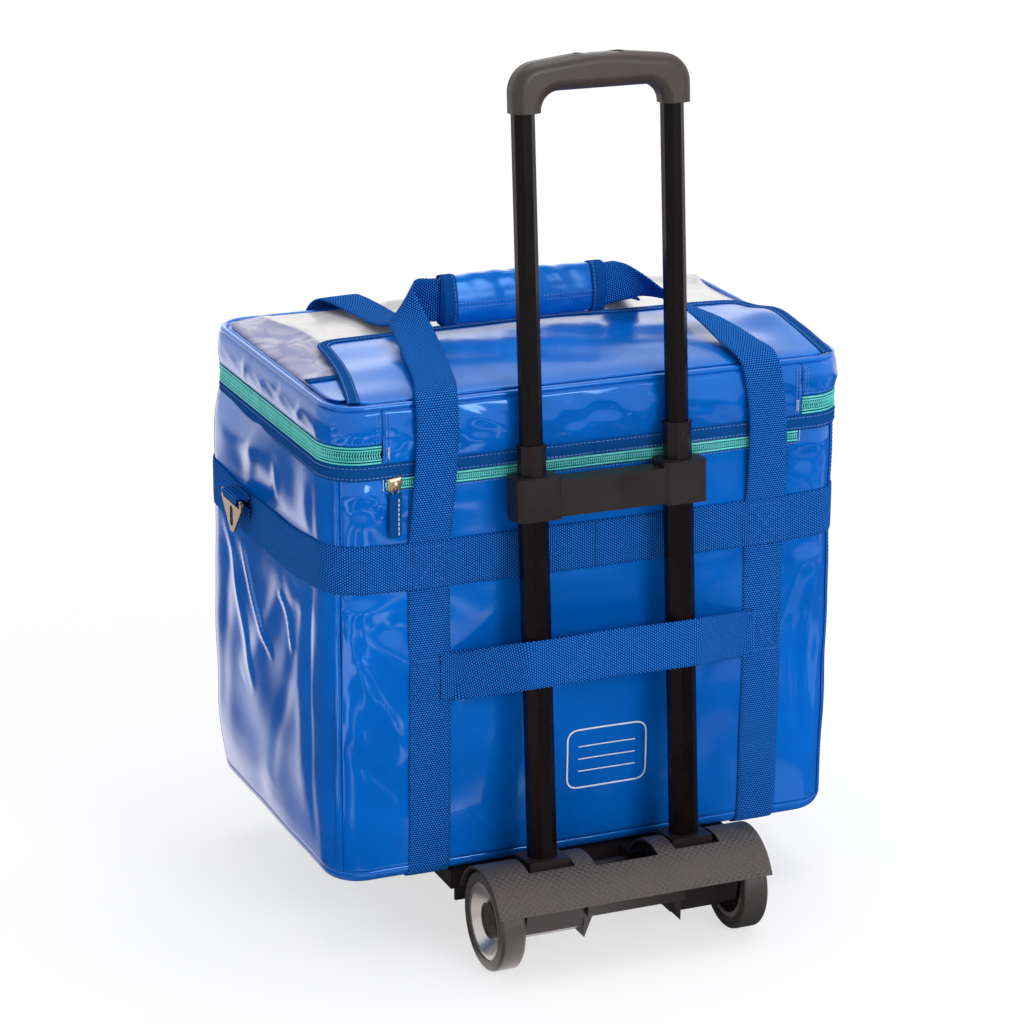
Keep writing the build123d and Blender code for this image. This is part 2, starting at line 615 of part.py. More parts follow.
def make_grip():
    # U-shaped grip with softened edges; its outline is drawn in X and along the tubes.
    leg = 24.5
    inner_half = grip_half - leg
    shoulder = grip_top - 7.0
    points = [(-grip_half, grip_low), (-grip_half, shoulder), (0, grip_top + 1.5), (grip_half, shoulder),
              (grip_half, grip_low), (inner_half, grip_low), (inner_half, grip_under),
              (-inner_half, grip_under), (-inner_half, grip_low)]
    face = make_face(Polyline(*points, close=True))
    corners = face.vertices()
    outer = [v for v in corners if abs(abs(v.X) - grip_half) < 1 and v.Y > grip_low + 1]
    face = fillet(outer, 24.0)
    inner = [v for v in face.vertices() if abs(abs(v.X) - inner_half) < 1 and v.Y > grip_low + 1]
    face = fillet(inner, 15.0)
    crown_point = [v for v in face.vertices() if abs(v.X) < 1]
    face = fillet(crown_point, 220.0)
    body = Pos(0, grip_rear, 0) * extrude(Rot(90, 0, 0) * face, amount=grip_rear - grip_front)
    faces_y = (grip_front, grip_rear)
    long_edges = [e for e in body.edges() if min(abs(e.center().Y - y) for y in faces_y) < 0.01]
    long_edges = [e for e in long_edges if e.center().Z > grip_low + 0.5]
    body = fillet(long_edges, grip_round)

    # Tube sockets, the button's well, the stem's hole and the tunnel for the yoke.
    plain = body
    for side in (-1, 1):
        body = body - Pos(side * tube_x, 0, 0) * octagon(upper_af, grip_low - 1, upper_top)
    button_w, button_d, button_y = 43.0, 19.0, -3.2
    well_low = grip_top - 12.0
    cap_low = well_low + button_travel + 0.8
    yoke_t = 4.6
    yoke_low = upper_top + button_travel + 0.4
    yoke_high = yoke_low + yoke_t
    well = Pos(0, button_y, well_low) * Ellipse(button_w / 2 + 0.4, button_d / 2 + 0.4)
    body = body - extrude(well, 30)
    body = body - block(-12.4, 12.4, -2.9, 2.9, yoke_high, well_low + 0.1)
    body = body - block(-tube_x - 3.0, tube_x + 3.0, -2.9, 2.9, upper_top - 0.1, yoke_high + 0.4)
    save(tube_place() * body, "grip")

    # The button's top follows the grip's rounding, a little below it.
    button = extrude(Pos(0, button_y, cap_low) * Ellipse(button_w / 2, button_d / 2), 30)
    button = button & (Pos(0, 0, -1.2) * plain)
    button = button + block(-12.0, 12.0, -2.5, 2.5, yoke_high, cap_low + 0.1)
    save(tube_place() * button, "release_button")

    # Lock rods: a yoke under the button's stem and a rod down each upper tube.
    rods = block(-tube_x - 2.5, tube_x + 2.5, -2.5, 2.5, yoke_low, yoke_high)
    for side in (-1, 1):
        x = side * tube_x
        rods = rods + block(x - 2.5, x + 2.5, -2.5, 2.5, upper_low + 12.0, yoke_low + 0.1)
    save(tube_place() * rods, "lock_rods")

    spring = Cylinder(2.2, cap_low - well_low) - Cylinder(1.5, 20)
    springs = [Pos(side * 15.0, button_y, (cap_low + well_low) / 2) * spring for side in (-1, 1)]
    save(Compound(children=[tube_place() * one for one in springs]), "button_springs")


make_skins()
make_foam_and_liner()
make_rim_and_zip()
make_lid()
make_lid_top_sheets()
make_webbing()
make_rings()
make_zip_hardware()
make_base()
make_wheels()
make_tubes()
make_grip()
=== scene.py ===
import math

import bpy
import numpy as np
from mathutils import Matrix, Vector


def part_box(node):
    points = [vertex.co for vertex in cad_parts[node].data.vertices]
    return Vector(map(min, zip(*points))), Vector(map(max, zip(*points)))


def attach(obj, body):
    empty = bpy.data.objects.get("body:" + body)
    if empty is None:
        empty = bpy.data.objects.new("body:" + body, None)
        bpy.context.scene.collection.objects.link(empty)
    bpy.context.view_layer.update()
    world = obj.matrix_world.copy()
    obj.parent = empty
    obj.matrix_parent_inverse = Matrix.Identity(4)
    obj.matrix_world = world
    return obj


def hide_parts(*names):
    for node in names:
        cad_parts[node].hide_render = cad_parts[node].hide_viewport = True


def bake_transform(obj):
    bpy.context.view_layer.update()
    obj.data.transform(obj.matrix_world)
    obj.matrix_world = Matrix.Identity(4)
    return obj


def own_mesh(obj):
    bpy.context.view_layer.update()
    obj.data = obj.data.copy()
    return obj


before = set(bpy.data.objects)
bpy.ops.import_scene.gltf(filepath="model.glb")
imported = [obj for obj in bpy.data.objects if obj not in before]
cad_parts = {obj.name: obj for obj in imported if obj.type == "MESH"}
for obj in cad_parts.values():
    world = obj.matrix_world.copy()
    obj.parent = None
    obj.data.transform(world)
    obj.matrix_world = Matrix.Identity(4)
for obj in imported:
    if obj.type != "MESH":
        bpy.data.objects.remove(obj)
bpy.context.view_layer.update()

# Insulated bag on its trolley: soft shells, webbing and zips worked out as surfaces over the frame.
# Distances in metres. "a" is the distance round the bag from the middle of its front towards +X.

baseLow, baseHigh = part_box("base_panel")
bagShape = {"cornerRadius": 0.032, "bottomZ": float(baseLow[2]), "bottomRadius": 0.012,
            "wallTop": float(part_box("front_panel")[1][2]), "beltZ": 0.338, "rimZ": 0.474, "seamAround": 0.2237,
            "strapXs": (-0.147, 0.155)}
halfWide = float(baseHigh[0])
frontY, rearY = float(baseLow[1]), float(baseHigh[1])
midY, halfDeep = (frontY + rearY) / 2, (rearY - frontY) / 2
cornerRadius = bagShape["cornerRadius"]
bagBody, lidBody = "bag_and_base", "lid"
toRight, toRear, toFront, upward = (1.0, 0, 0), (0, 1.0, 0), (0, -1.0, 0), (0, 0, 1.0)


def roundedRun(coreX, coreY, radius):
    # A rounded rectangle as runs: the distance at each run's end, the turn there and the core's corner.
    quarter = math.pi / 2 * radius
    lengths = [coreX, quarter, 2 * coreY, quarter, 2 * coreX, quarter, 2 * coreY, quarter, coreX]
    return (np.concatenate([[0.0], np.cumsum(lengths)]), np.array([0, 0, 1, 1, 2, 2, 3, 3, 4, 4]) * math.pi / 2,
            np.array([0, 1, 1, 1, 1, -1, -1, -1, -1, 0]) * coreX,
            np.array([-1, -1, -1, 1, 1, 1, 1, -1, -1, -1]) * coreY)


def onRun(run, radius, a):
    # Points at the distances a: the core's corner plus the radius along the normal, and that normal.
    ends, turns, coreXs, coreYs = run
    turn = np.interp(a, ends, turns)
    nx, ny = np.sin(turn), -np.cos(turn)
    return np.interp(a, ends, coreXs) + radius * nx, np.interp(a, ends, coreYs) + radius * ny, nx, ny


coreX, coreY = halfWide - cornerRadius, halfDeep - cornerRadius
bagRun = roundedRun(coreX, coreY, cornerRadius)
roundTrip = float(bagRun[0][-1])


def xyz(x, y, z):
    return np.stack(np.broadcast_arrays(x, y, z), axis=-1)


def planeUv(u, v):
    return np.stack(np.broadcast_arrays(u, v), axis=-1)


def aroundBag(a, out=0.0):
    # The bag's outline, raised by "out" along the normal.
    x, y, nx, ny = onRun(bagRun, cornerRadius + out, np.mod(np.asarray(a, float), roundTrip))
    return x, midY + y, nx, ny


def bandPoint(a, z, out=0.0):
    # Points of the outline at height z, and the outward directions there.
    x, y, nx, ny = aroundBag(a, out)
    return xyz(x, y, z), xyz(nx, ny, 0.0)


def fromFront(a):
    # The distance from the middle of the front, minus on the left.
    return np.mod(a + roundTrip / 2, roundTrip) - roundTrip / 2


# Long soft folds in the walls: start (a, z), end (a, z), half-width, height (minus is a dent), in metres.
wallFolds = [
    (-0.262, 0.405, -0.264, 0.095, 0.0065, -0.0011),
    (-0.276, 0.400, -0.280, 0.110, 0.0120, 0.0010),
    (-0.335, 0.290, -0.297, 0.248, 0.0030, 0.0018),
    (-0.435, 0.300, -0.350, 0.222, 0.0036, 0.0020),
    (-0.480, 0.330, -0.390, 0.180, 0.0060, 0.0016),
    (-0.205, 0.400, -0.165, 0.365, 0.0070, -0.0009),
    (-0.214, 0.300, -0.200, 0.205, 0.0045, 0.0016),
    (-0.206, 0.260, -0.172, 0.170, 0.0055, 0.0015),
    (-0.214, 0.190, -0.165, 0.125, 0.0060, -0.0015),
    (0.212, 0.310, 0.196, 0.170, 0.0045, 0.0019),
    (0.180, 0.250, 0.205, 0.120, 0.0055, -0.0014),
    (-0.215, 0.300, -0.120, 0.210, 0.0110, 0.0012),
    (-0.218, 0.240, -0.150, 0.130, 0.0090, -0.0008),
    (-0.330, 0.300, -0.420, 0.180, 0.0140, 0.0014),
    (-0.300, 0.250, -0.360, 0.110, 0.0110, -0.0010),
    (-0.370, 0.425, -0.440, 0.340, 0.0090, 0.0014),
    (-0.455, 0.330, -0.470, 0.120, 0.0130, -0.0010),
    (-0.340, 0.400, -0.360, 0.350, 0.0080, 0.0009),
    (-0.090, 0.300, -0.020, 0.240, 0.0120, -0.0009),
    (0.205, 0.322, 0.165, 0.215, 0.0065, 0.0012),
    (0.214, 0.250, 0.190, 0.120, 0.0080, -0.0009),
    (0.190, 0.405, 0.215, 0.365, 0.0075, -0.0010),
    (0.110, 0.300, 0.060, 0.180, 0.0120, 0.0010),
    (0.262, 0.400, 0.266, 0.100, 0.0080, -0.0010),
    (0.330, 0.310, 0.410, 0.170, 0.0130, 0.0014),
    (0.300, 0.220, 0.380, 0.100, 0.0110, -0.0010),
    (0.450, 0.400, 0.470, 0.130, 0.0120, 0.0010),
    (0.620, 0.300, 0.540, 0.180, 0.0120, 0.0012),
    (0.700, 0.250, 0.760, 0.130, 0.0140, -0.0010),
    (0.860, 0.310, 0.920, 0.200, 0.0120, 0.0012),
    (0.905, 0.240, 0.870, 0.110, 0.0100, -0.0009),
]
# Slow waves: wave numbers round and up, start phase, height.
wallWaves = [(61.0, 23.0, 0.4, 0.00035), (-38.0, 52.0, 2.1, 0.00040), (97.0, -31.0, 4.4, 0.00010),
             (21.0, 88.0, 1.2, 0.00024), (-128.0, 64.0, 3.3, 0.00005), (150.0, 19.0, 5.2, 0.00003)]
wallSwell = {"frontBack": 0.0042, "sides": 0.0058, "aboveBelt": 0.42, "beltHold": 0.021, "strapPinch": 0.35,
             "strapSpread": 0.022, "rearCorner": 0.0072, "rearSpread": 0.075,
             "footFade": 0.075, "topFade": 0.045, "power": 0.75, "freeRate": 2.2}
# Short rounded puffs beside the pocket and under the belt: middle (a, z), reach round and up, height.
wallPuffs = [(-0.203, 0.4035, 0.013, 0.0075, 0.0044), (-0.187, 0.3920, 0.008, 0.0080, 0.0034),
             (-0.170, 0.3800, 0.010, 0.0120, -0.0016), (-0.205, 0.3760, 0.012, 0.0130, 0.0014),
             (0.200, 0.4030, 0.014, 0.0080, 0.0034), (0.190, 0.3880, 0.009, 0.0090, -0.0016),
             (-0.205, 0.3060, 0.016, 0.0090, 0.0022), (-0.180, 0.2900, 0.010, 0.0100, -0.0014),
             (0.196, 0.3000, 0.016, 0.0100, 0.0026), (0.214, 0.2300, 0.008, 0.0300, 0.0022),
             (-0.300, 0.3000, 0.030, 0.0120, 0.0022), (-0.400, 0.3920, 0.030, 0.0150, 0.0020)]


def foldHeight(a, z, folds):
    # Each fold is a bell-shaped ridge about a line from start to end, fading out at both ends.
    total = np.zeros(np.broadcast(a, z).shape)
    wrapped = fromFront(a)
    for a0, z0, a1, z1, halfWidth, height in folds:
        # Folds on the rear wall are given as distances of more than half the way round.
        here = np.where((wrapped < -0.5) & (a0 > 0.5), wrapped + roundTrip, wrapped)
        da, dz = a1 - a0, z1 - z0
        length = math.hypot(da, dz)
        t = ((here - a0) * da + (z - z0) * dz) / length ** 2
        bend = 0.004 * np.sin(t * 5.3 + a0 * 40)
        side = ((here - a0) * dz - (z - z0) * da) / length + bend
        total = total + height * np.sqrt(np.sin(np.clip(t, 0, 1) * math.pi)) * np.exp(-(side / halfWidth) ** 2)
    return total


def swellAt(a, z):
    # Outward swell: a cushion curve across each face times one up the wall, pinched at the belt and straps,
    # with the long folds, slow waves and puffs added where the wall is free.
    swell = wallSwell
    x, y, nx, ny = aroundBag(a)
    faceX = np.clip(1 - (x / halfWide) ** 2, 0, 1) * np.abs(ny)
    faceY = np.clip(1 - ((y - midY) / halfDeep) ** 2, 0, 1) * np.abs(nx)
    across = swell["frontBack"] * faceX + swell["sides"] * faceY
    beltZ, lowZ, topZ = bagShape["beltZ"], bagShape["bottomZ"], bagShape["wallTop"]
    beltLow, beltHigh = beltZ - swell["beltHold"], beltZ + swell["beltHold"]
    lower = np.sin(np.clip((z - lowZ) / (beltLow - lowZ), 0, 1) * math.pi) ** swell["power"]
    upper = np.sin(np.clip((z - beltHigh) / (topZ - beltHigh), 0, 1) * math.pi) ** swell["power"]
    up = np.where(z < beltZ, lower, swell["aboveBelt"] * upper)
    pinch = 1 - sum(swell["strapPinch"] * np.abs(ny) * np.exp(-((x - strapX) / swell["strapSpread"]) ** 2)
                    for strapX in bagShape["strapXs"])
    free = np.clip(up * swell["freeRate"], 0, 1)
    waves = sum(h * np.sin(ka * a + kz * z + p) for ka, kz, p, h in wallWaves)
    wrapped = fromFront(a)
    puffs = sum(h * np.exp(-((wrapped - pa) / ra) ** 2 - ((z - pz) / rz) ** 2) for pa, pz, ra, rz, h in wallPuffs)
    # The rear corners are pushed out by what is inside, at every height but the very top and bottom.
    cornerA = coreX + 2 * coreY + 1.25 * math.pi / 2 * cornerRadius
    atCorner = np.exp(-((np.abs(wrapped) - cornerA) / swell["rearSpread"]) ** 2)
    stretch = np.clip((z - lowZ) / swell["footFade"], 0, 1) * np.clip((topZ - z) / swell["topFade"], 0, 1)
    corner = swell["rearCorner"] * atCorner * np.sin(stretch * math.pi / 2)
    return across * up * pinch + corner + free * (foldHeight(a, z, wallFolds) + waves + puffs)


def wallPoint(a, z, out=0.0):
    # A point on the soft wall, raised by "out".
    return bandPoint(a, z, swellAt(a, z) + out)[0]


def putMesh(name, points, faces, uv=None):
    mesh = bpy.data.meshes.new(name)
    mesh.from_pydata(points.reshape(-1, 3).tolist(), [], faces)
    if uv is not None:
        corner = np.empty(len(mesh.loops), dtype=np.int64)
        mesh.loops.foreach_get("vertex_index", corner)
        mesh.uv_layers.new(name="UVMap").data.foreach_set("uv", uv.reshape(-1, 2)[corner].ravel())
    shadeSmooth(mesh, True)
    mesh.validate()
    mesh.update()
    piece = bpy.data.objects.new(name, mesh)
    bpy.context.scene.collection.objects.link(piece)
    return piece


def shadeSmooth(mesh, smooth):
    mesh.polygons.foreach_set("use_smooth", np.full(len(mesh.polygons), smooth))


def gridFaces(rows, columns, closeRows=False, closeColumns=False):
    # Quads between neighbouring grid points, going round once more where a direction closes.
    i = np.arange(rows if closeRows else rows - 1)
    j = np.arange(columns if closeColumns else columns - 1)
    i, j = np.meshgrid(i, j, indexing="ij")
    i2, j2 = (i + 1) % rows, (j + 1) % columns
    quads = np.stack([i * columns + j, i * columns + j2, i2 * columns + j2, i2 * columns + j], axis=-1)
    return quads.reshape(-1, 4)


def gridPiece(name, points, uv=None, closeRows=False, closeColumns=False):
    return putMesh(name, points, gridFaces(*points.shape[:2], closeRows, closeColumns).tolist(), uv)


def fixNormals(piece):
    selectOnly([piece])
    bpy.ops.object.mode_set(mode="EDIT")
    bpy.ops.mesh.select_all(action="SELECT")
    bpy.ops.mesh.normals_make_consistent(inside=False)
    bpy.ops.object.mode_set(mode="OBJECT")
    piece.select_set(False)
    return piece


def selectOnly(pieces):
    for other in bpy.context.selected_objects:
        other.select_set(False)
    for piece in pieces:
        piece.select_set(True)
    bpy.context.view_layer.objects.active = pieces[0]


def faceUp(piece):
    if piece.data.polygons[len(piece.data.polygons) - 1].normal.z < 0:
        piece.data.flip_normals()
    return piece


def tubePiece(name, points, uv=None):
    # Rings joined into a tube and closed at both ends.
    rows, around = points.shape[:2]
    faces = gridFaces(rows, around, closeColumns=True)[:, ::-1].tolist()
    faces += [list(range(around)), list(range((rows - 1) * around, rows * around))[::-1]]
    return fixNormals(putMesh(name, points, faces, uv))


def domePiece(name, points, thickness):
    # Rings from the edge to the middle, the last one filled, as a sheet that looks upwards.
    rows, around = points.shape[:2]
    faces = gridFaces(rows, around, closeColumns=True).tolist()
    faces.append(list(range((rows - 1) * around, rows * around)))
    return thicken(faceUp(fixNormals(putMesh(name, points, faces))), thickness)


def thicken(piece, thickness, offset=-1.0):
    solid = piece.modifiers.new("thickness", "SOLIDIFY")
    solid.thickness = thickness
    solid.offset = offset
    solid.use_quality_normals = True
    return piece


def finishPiece(piece, body, material, *nodes):
    # The piece gets its material, the body it rides on and the nodes that it replaces.
    piece.data.materials.clear()
    piece.data.materials.append(material)
    if body:
        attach(piece, body)
    if nodes:
        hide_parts(*nodes)
    return piece


def joinPieces(name, pieces):
    selectOnly(pieces)
    if len(pieces) > 1:
        bpy.ops.object.join()
    pieces[0].name = pieces[0].data.name = name
    pieces[0].select_set(False)
    return pieces[0]


def finishJoined(name, pieces, body, material, *nodes):
    return finishPiece(joinPieces(name, pieces), body, material, *nodes)


def unit(v):
    return v / np.maximum(np.linalg.norm(v, axis=-1, keepdims=True), 1e-12)


def runLength(points):
    return np.concatenate([[0], np.cumsum(np.linalg.norm(np.diff(points, axis=0), axis=1))])


def sampled(fine, where, points):
    return np.stack([np.interp(fine, where, column) for column in points.T], axis=-1)


def smoothPath(points, count, blur):
    # Evenly spaced points on a bent line, rounded off by a running weighted mean, its ends held.
    points = np.asarray(points, float)
    where = runLength(points)
    path = sampled(np.linspace(0, where[-1], count), where, points)
    reach = max(1, int(count * blur / 2))
    weights = np.hanning(2 * reach + 3)[1:-1]
    weights /= weights.sum()
    padded = np.concatenate([2 * path[:1] - path[reach:0:-1], path, 2 * path[-1:] - path[-2:-reach - 2:-1]])
    return np.stack([np.convolve(column, weights, mode="valid") for column in padded.T], axis=-1)


def ribbon(name, line, across, width, thickness, columns=10, edge=0.35):
    # A strap: a flat rounded loop of width and thickness carried along the line. Its third direction is
    # across x tangent. UV runs along the strap and across it, in metres.
    line = np.asarray(line, float)
    across = unit(np.broadcast_to(np.asarray(across, float), line.shape))
    tangent = unit(np.gradient(line, axis=0))
    across = unit(across - tangent * np.sum(across * tangent, axis=-1, keepdims=True))
    outward = np.cross(across, tangent)
    w = np.linspace(-1, 1, columns)
    half = 0.5 * thickness * (1 - (np.abs(w) ** 6) * edge)
    loopW = np.concatenate([w, w[::-1]]) * width / 2
    loopH = np.concatenate([half, -half[::-1]])
    points = line[:, None] + across[:, None] * loopW[None, :, None] + outward[:, None] * loopH[None, :, None]
    return tubePiece(name, points, planeUv(runLength(line)[:, None], loopW[None, :]))


def edgeRibbon(name, left, right, thickness):
    # A strap given by its two edges: rows run straight from one edge to the other, so it may fold or twist.
    # Its thickness stands along the surface's own outward direction.
    both = smoothPath(np.concatenate([left, right], axis=1), 300, 0.05)
    left, right = both[:, :3], both[:, 3:]
    share = np.linspace(-1, 1, 12)
    w = (share[None, :, None] + 1) / 2
    sheet = left[:, None] * (1 - w) + right[:, None] * w
    outward = unit(np.cross(np.gradient(sheet, axis=1), np.gradient(sheet, axis=0)))
    half = (0.5 * thickness * (1 - 0.35 * np.abs(share) ** 6))[None, :, None]
    points = np.concatenate([sheet + outward * half, (sheet - outward * half)[:, ::-1]], axis=1)
    span = np.linalg.norm(right - left, axis=1)[:, None] * share[None, :] / 2
    run = runLength((left + right) / 2)
    return tubePiece(name, points, planeUv(run[:, None], np.concatenate([span, span[:, ::-1]], axis=1)))


def copies(name, shape, faces, places, xs, zs):
    # Many copies of one small shape, each laid along its own directions.
    xs, zs = np.broadcast_to(xs, places.shape), np.broadcast_to(zs, places.shape)
    ys = np.cross(zs, xs)
    points = (places[:, None] + shape[None, :, 0:1] * xs[:, None] + shape[None, :, 1:2] * ys[:, None]
              + shape[None, :, 2:3] * zs[:, None])
    offsets = range(0, len(places) * len(shape), len(shape))
    return putMesh(name, points, [[v + o for v in f] for o in offsets for f in faces])


def beadShape(length, width, height, pinch=0.45):
    # A small grain: three rings of six points, the end rings drawn in by "pinch", closed at both ends.
    turn = np.arange(6) * math.pi / 3
    rings = []
    for along, size in ((-0.5, pinch), (-0.25, 1.0), (0.25, 1.0), (0.5, pinch)):
        rings.append(np.stack([np.full(6, along * length), np.cos(turn) * width / 2 * size,
                               np.sin(turn) * height / 2 * size], axis=-1))
    points = np.concatenate(rings)
    faces = gridFaces(4, 6, closeColumns=True).tolist()
    faces += [list(range(5, -1, -1)), list(range(18, 24))]
    return points, faces


def stitchRow(path, outward, pitch=0.0034, length=0.0024, width=0.0007):
    # Thread grains laid end to end along a path, half sunk in the cloth.
    outward = np.broadcast_to(np.asarray(outward, float), path.shape)
    where = runLength(path)
    spots = np.arange(pitch / 2, where[-1], pitch)
    at = sampled(spots, where, path)
    along = unit(sampled(spots + pitch / 4, where, path) - at + 1e-9)
    up = unit(sampled(spots, where, outward))
    return copies("stitches", *beadShape(length, width, width * 0.8), at, along, up)


class Wire:
    # A value inside a shader tree: arithmetic on it, or "do", adds the maths node that works it out.
    def __init__(self, socket):
        self.socket = socket

    def into(self, kind, key, inputs=None, output=0, **settings):
        # Feeds the value to input "key" of a new node and gives one of its outputs.
        return put(self.socket.id_data, kind, {key: self, **(inputs or {})}, output, **settings)

    def do(self, operation, *others):
        return self.into("ShaderNodeMath", 0, dict(enumerate(others, 1)), operation=operation)

    def __add__(self, other):
        return self.do("ADD", other)

    def __sub__(self, other):
        return self.do("SUBTRACT", other)

    def __mul__(self, other):
        return self.do("MULTIPLY", other)


def setInputs(made, inputs):
    for key, value in inputs.items():
        if isinstance(value, Wire):
            made.id_data.links.new(value.socket, made.inputs[key])
        else:
            made.inputs[key].default_value = value


def put(tree, kind, inputs=None, output=0, **settings):
    made = tree.nodes.new(kind)
    for key, value in settings.items():
        setattr(made, key, value)
    setInputs(made, inputs or {})
    return Wire(made.outputs[output])


def split(place):
    return [Wire(out) for out in place.into("ShaderNodeSeparateXYZ", "Vector").socket.node.outputs]


def noise(place, scale, detail, rough=0.5, distort=0.0):
    return place.into("ShaderNodeTexNoise", "Vector", {"Scale": scale, "Detail": detail, "Roughness": rough,
                                                      "Distortion": distort}, "Fac")


def fit(value, fromMin, fromMax, toMin=0.0, toMax=1.0, **settings):
    # Carries the first range over to the second, held at its ends.
    return value.into("ShaderNodeMapRange", "Value", {"From Min": fromMin, "From Max": fromMax, "To Min": toMin,
                                                     "To Max": toMax}, "Result", **settings)


def wave(value):
    return value.do("SINE").do("ABSOLUTE")


def ramp(factor, *stops):
    colour = factor.into("ShaderNodeValToRGB", "Fac", output="Color")
    elements = colour.socket.node.color_ramp.elements
    while len(elements) < len(stops):
        elements.new(0.5)
    for element, (position, rgb) in zip(elements, stops):
        element.position = position
        element.color = (*rgb, 1)
    return colour


def blendColours(factor, low, high):
    # The colour mix node has one set of sockets per data type: 6 and 7 are its colours, 2 is their mix.
    return factor.into("ShaderNodeMix", "Factor", {6: low, 7: high}, 2, data_type="RGBA")


def bump(shader, height, strength, distance):
    # Adds relief on top of the relief that the shader has already.
    links = shader.inputs["Normal"].links
    under = {"Normal": Wire(links[0].from_socket)} if links else {}
    setInputs(shader, {"Normal": height.into("ShaderNodeBump", "Height",
                                             {"Strength": strength, "Distance": distance, **under}, "Normal")})


def newMaterial(name):
    # A material and its shader.
    material = bpy.data.materials.new(name)
    material.use_nodes = True
    return material, material.node_tree.nodes["Principled BSDF"]


def ownPlace(shader):
    return put(shader.id_data, "ShaderNodeTexCoord", output="Object")


coatedLook = {"sheenTint": (0.06, 0.42, 1.0, 1.0), "specular": 0.60, "scrimPitch": 0.0016, "scrimDepth": 0.00006,
              "creaseScale": 26.0, "driftScale": 9.0, "smearScale": 38.0}


def coatedCloth(name, deep, bright, creaseDepth, coat, coatRough, rough):
    # Glossy coated cloth: slow colour drift, a faint woven core showing through the coat, fine soft creases.
    material, shader = newMaterial(name)
    place = ownPlace(shader)
    x, y, z = split(place)
    drift = noise(place, coatedLook["driftScale"], 4.0, 0.55)
    smear = noise(place, coatedLook["smearScale"], 5.0, 0.6)
    setInputs(shader, {
        "Base Color": ramp(drift, (0.30, deep), (0.72, bright)), "Roughness": fit(smear, 0.3, 0.7, *rough),
        "Specular IOR Level": coatedLook["specular"], "Specular Tint": coatedLook["sheenTint"],
        "Coat Weight": coat, "Coat Roughness": coatRough})
    turns = 2 * math.pi / coatedLook["scrimPitch"]
    bump(shader, ((x + y) * turns).do("SINE") * (z * turns).do("SINE"), 0.12, coatedLook["scrimDepth"])
    bump(shader, noise(place, coatedLook["creaseScale"], 3.0, 0.45, 0.6), 0.55, creaseDepth)
    return material


weave = {"ribPitch": 0.0019, "pickPitch": 0.0023, "grosgrainPitch": 0.0009, "twillX": 0.0011, "twillY": 0.0008}


def picks(x, y):
    # Columns of small raised picks, every second column shifted half a pick.
    ribs = x * (1 / weave["ribPitch"])
    shift = ribs.do("FLOOR").do("MODULO", 2.0) * 0.5
    across = wave((y * (1 / weave["pickPitch"]) + shift) * math.pi)
    return (wave(ribs * math.pi) * across).do("POWER", 0.7)


def fineRibs(x, y):
    return wave(x * (math.pi / weave["grosgrainPitch"]))


def twill(x, y):
    return wave(x * (math.pi / weave["twillX"]) + y * (math.pi / weave["twillY"]))


def wovenCloth(name, pattern, share, fuzz, stops, relief, finish):
    # Cloth read from the piece's own UV, in metres: a share of the pattern plus some fuzz (scale, detail, share).
    material, shader = newMaterial(name)
    uv = put(shader.id_data, "ShaderNodeUVMap", output="UV", uv_map="UVMap")
    mixed = pattern(*split(uv)[:2]) * share + noise(uv, *fuzz[:2]) * fuzz[2]
    setInputs(shader, {"Base Color": ramp(mixed, *stops), **finish})
    bump(shader, mixed, *relief)
    return material


def plainFinish(name, low, high, roughness, metallic=0.0, grainScale=420.0, grainDepth=0.00006, coat=0.0,
                roughSpread=0.12, specular=0.5):
    # Moulded or metal part: fine grain in the surface, slow changes in colour and gloss.
    material, shader = newMaterial(name)
    place = ownPlace(shader)
    blotch = noise(place, 30.0, 5.0, 0.6)
    gloss = fit(blotch, 0.3, 0.7, max(0.03, roughness - roughSpread / 2), roughness + roughSpread / 2)
    setInputs(shader, {"Base Color": ramp(blotch, (0.3, low), (0.7, high)), "Roughness": gloss,
                       "Metallic": metallic, "Coat Weight": coat, "Specular IOR Level": specular})
    bump(shader, noise(place, grainScale, 3.0, 0.6), 0.6, grainDepth)
    return material


def threadFinish(name, low, high):
    return plainFinish(name, low, high, 0.6, grainScale=2000.0)


# The curved cover lies between two radii round the axle, each given as the ends of a soft step.
dimples = {"radius": 0.0465, "pitch": 0.0060, "power": 1.6, "depth": 0.0005, "inner": (0.0446, 0.0454),
           "outer": (0.0475, 0.0470), "paintedShadeColour": (0.012, 0.009, 0.009, 1.0),
           "axle": (0.0, frontY - 0.055, 0.042)}


def dimpledPlastic(name, low, high):
    # Moulded cover with a diamond field of small dimples, laid out by the angle round the axle and by X.
    material = plainFinish(name, low, high, 0.50, grainDepth=0.00005)
    shader = material.node_tree.nodes["Principled BSDF"]
    place = ownPlace(shader)
    x, y, z = split(place)
    turn = (z - dimples["axle"][2]).do("ARCTAN2", y - dimples["axle"][1])
    around, along = turn * (dimples["radius"] / dimples["pitch"]), x * (1 / dimples["pitch"])
    field = wave((along + around) * math.pi) * wave((along - around) * math.pi)
    # Only the curved cover has dimples: the ribs and the floor under it are plain and painted darker, as painted
    # shade inside the shroud.
    level = place.into("ShaderNodeVectorMath", 0, {1: dimples["axle"]}, operation="SUBTRACT")
    level = level.into("ShaderNodeVectorMath", 0, {1: (0.0, 1.0, 1.0)}, operation="MULTIPLY")
    radius = level.into("ShaderNodeVectorMath", 0, output="Value", operation="LENGTH")
    cover = fit(radius, *dimples["inner"]) * fit(radius, *dimples["outer"])
    plain = Wire(shader.inputs["Base Color"].links[0].from_socket)
    setInputs(shader, {"Base Color": blendColours(cover, dimples["paintedShadeColour"], plain)})
    bump(shader, field.do("POWER", dimples["power"]) * -1.0 * cover, 0.9, dimples["depth"])
    return material


# Where the film's see-through strip ends and its painted glare begins: x at the front, how far it slants, and how
# it sways.
filmBorder = {"x": -0.1465, "slant": 0.134, "sway": 0.0022, "swayRate": 62.0, "soft": 0.0015}


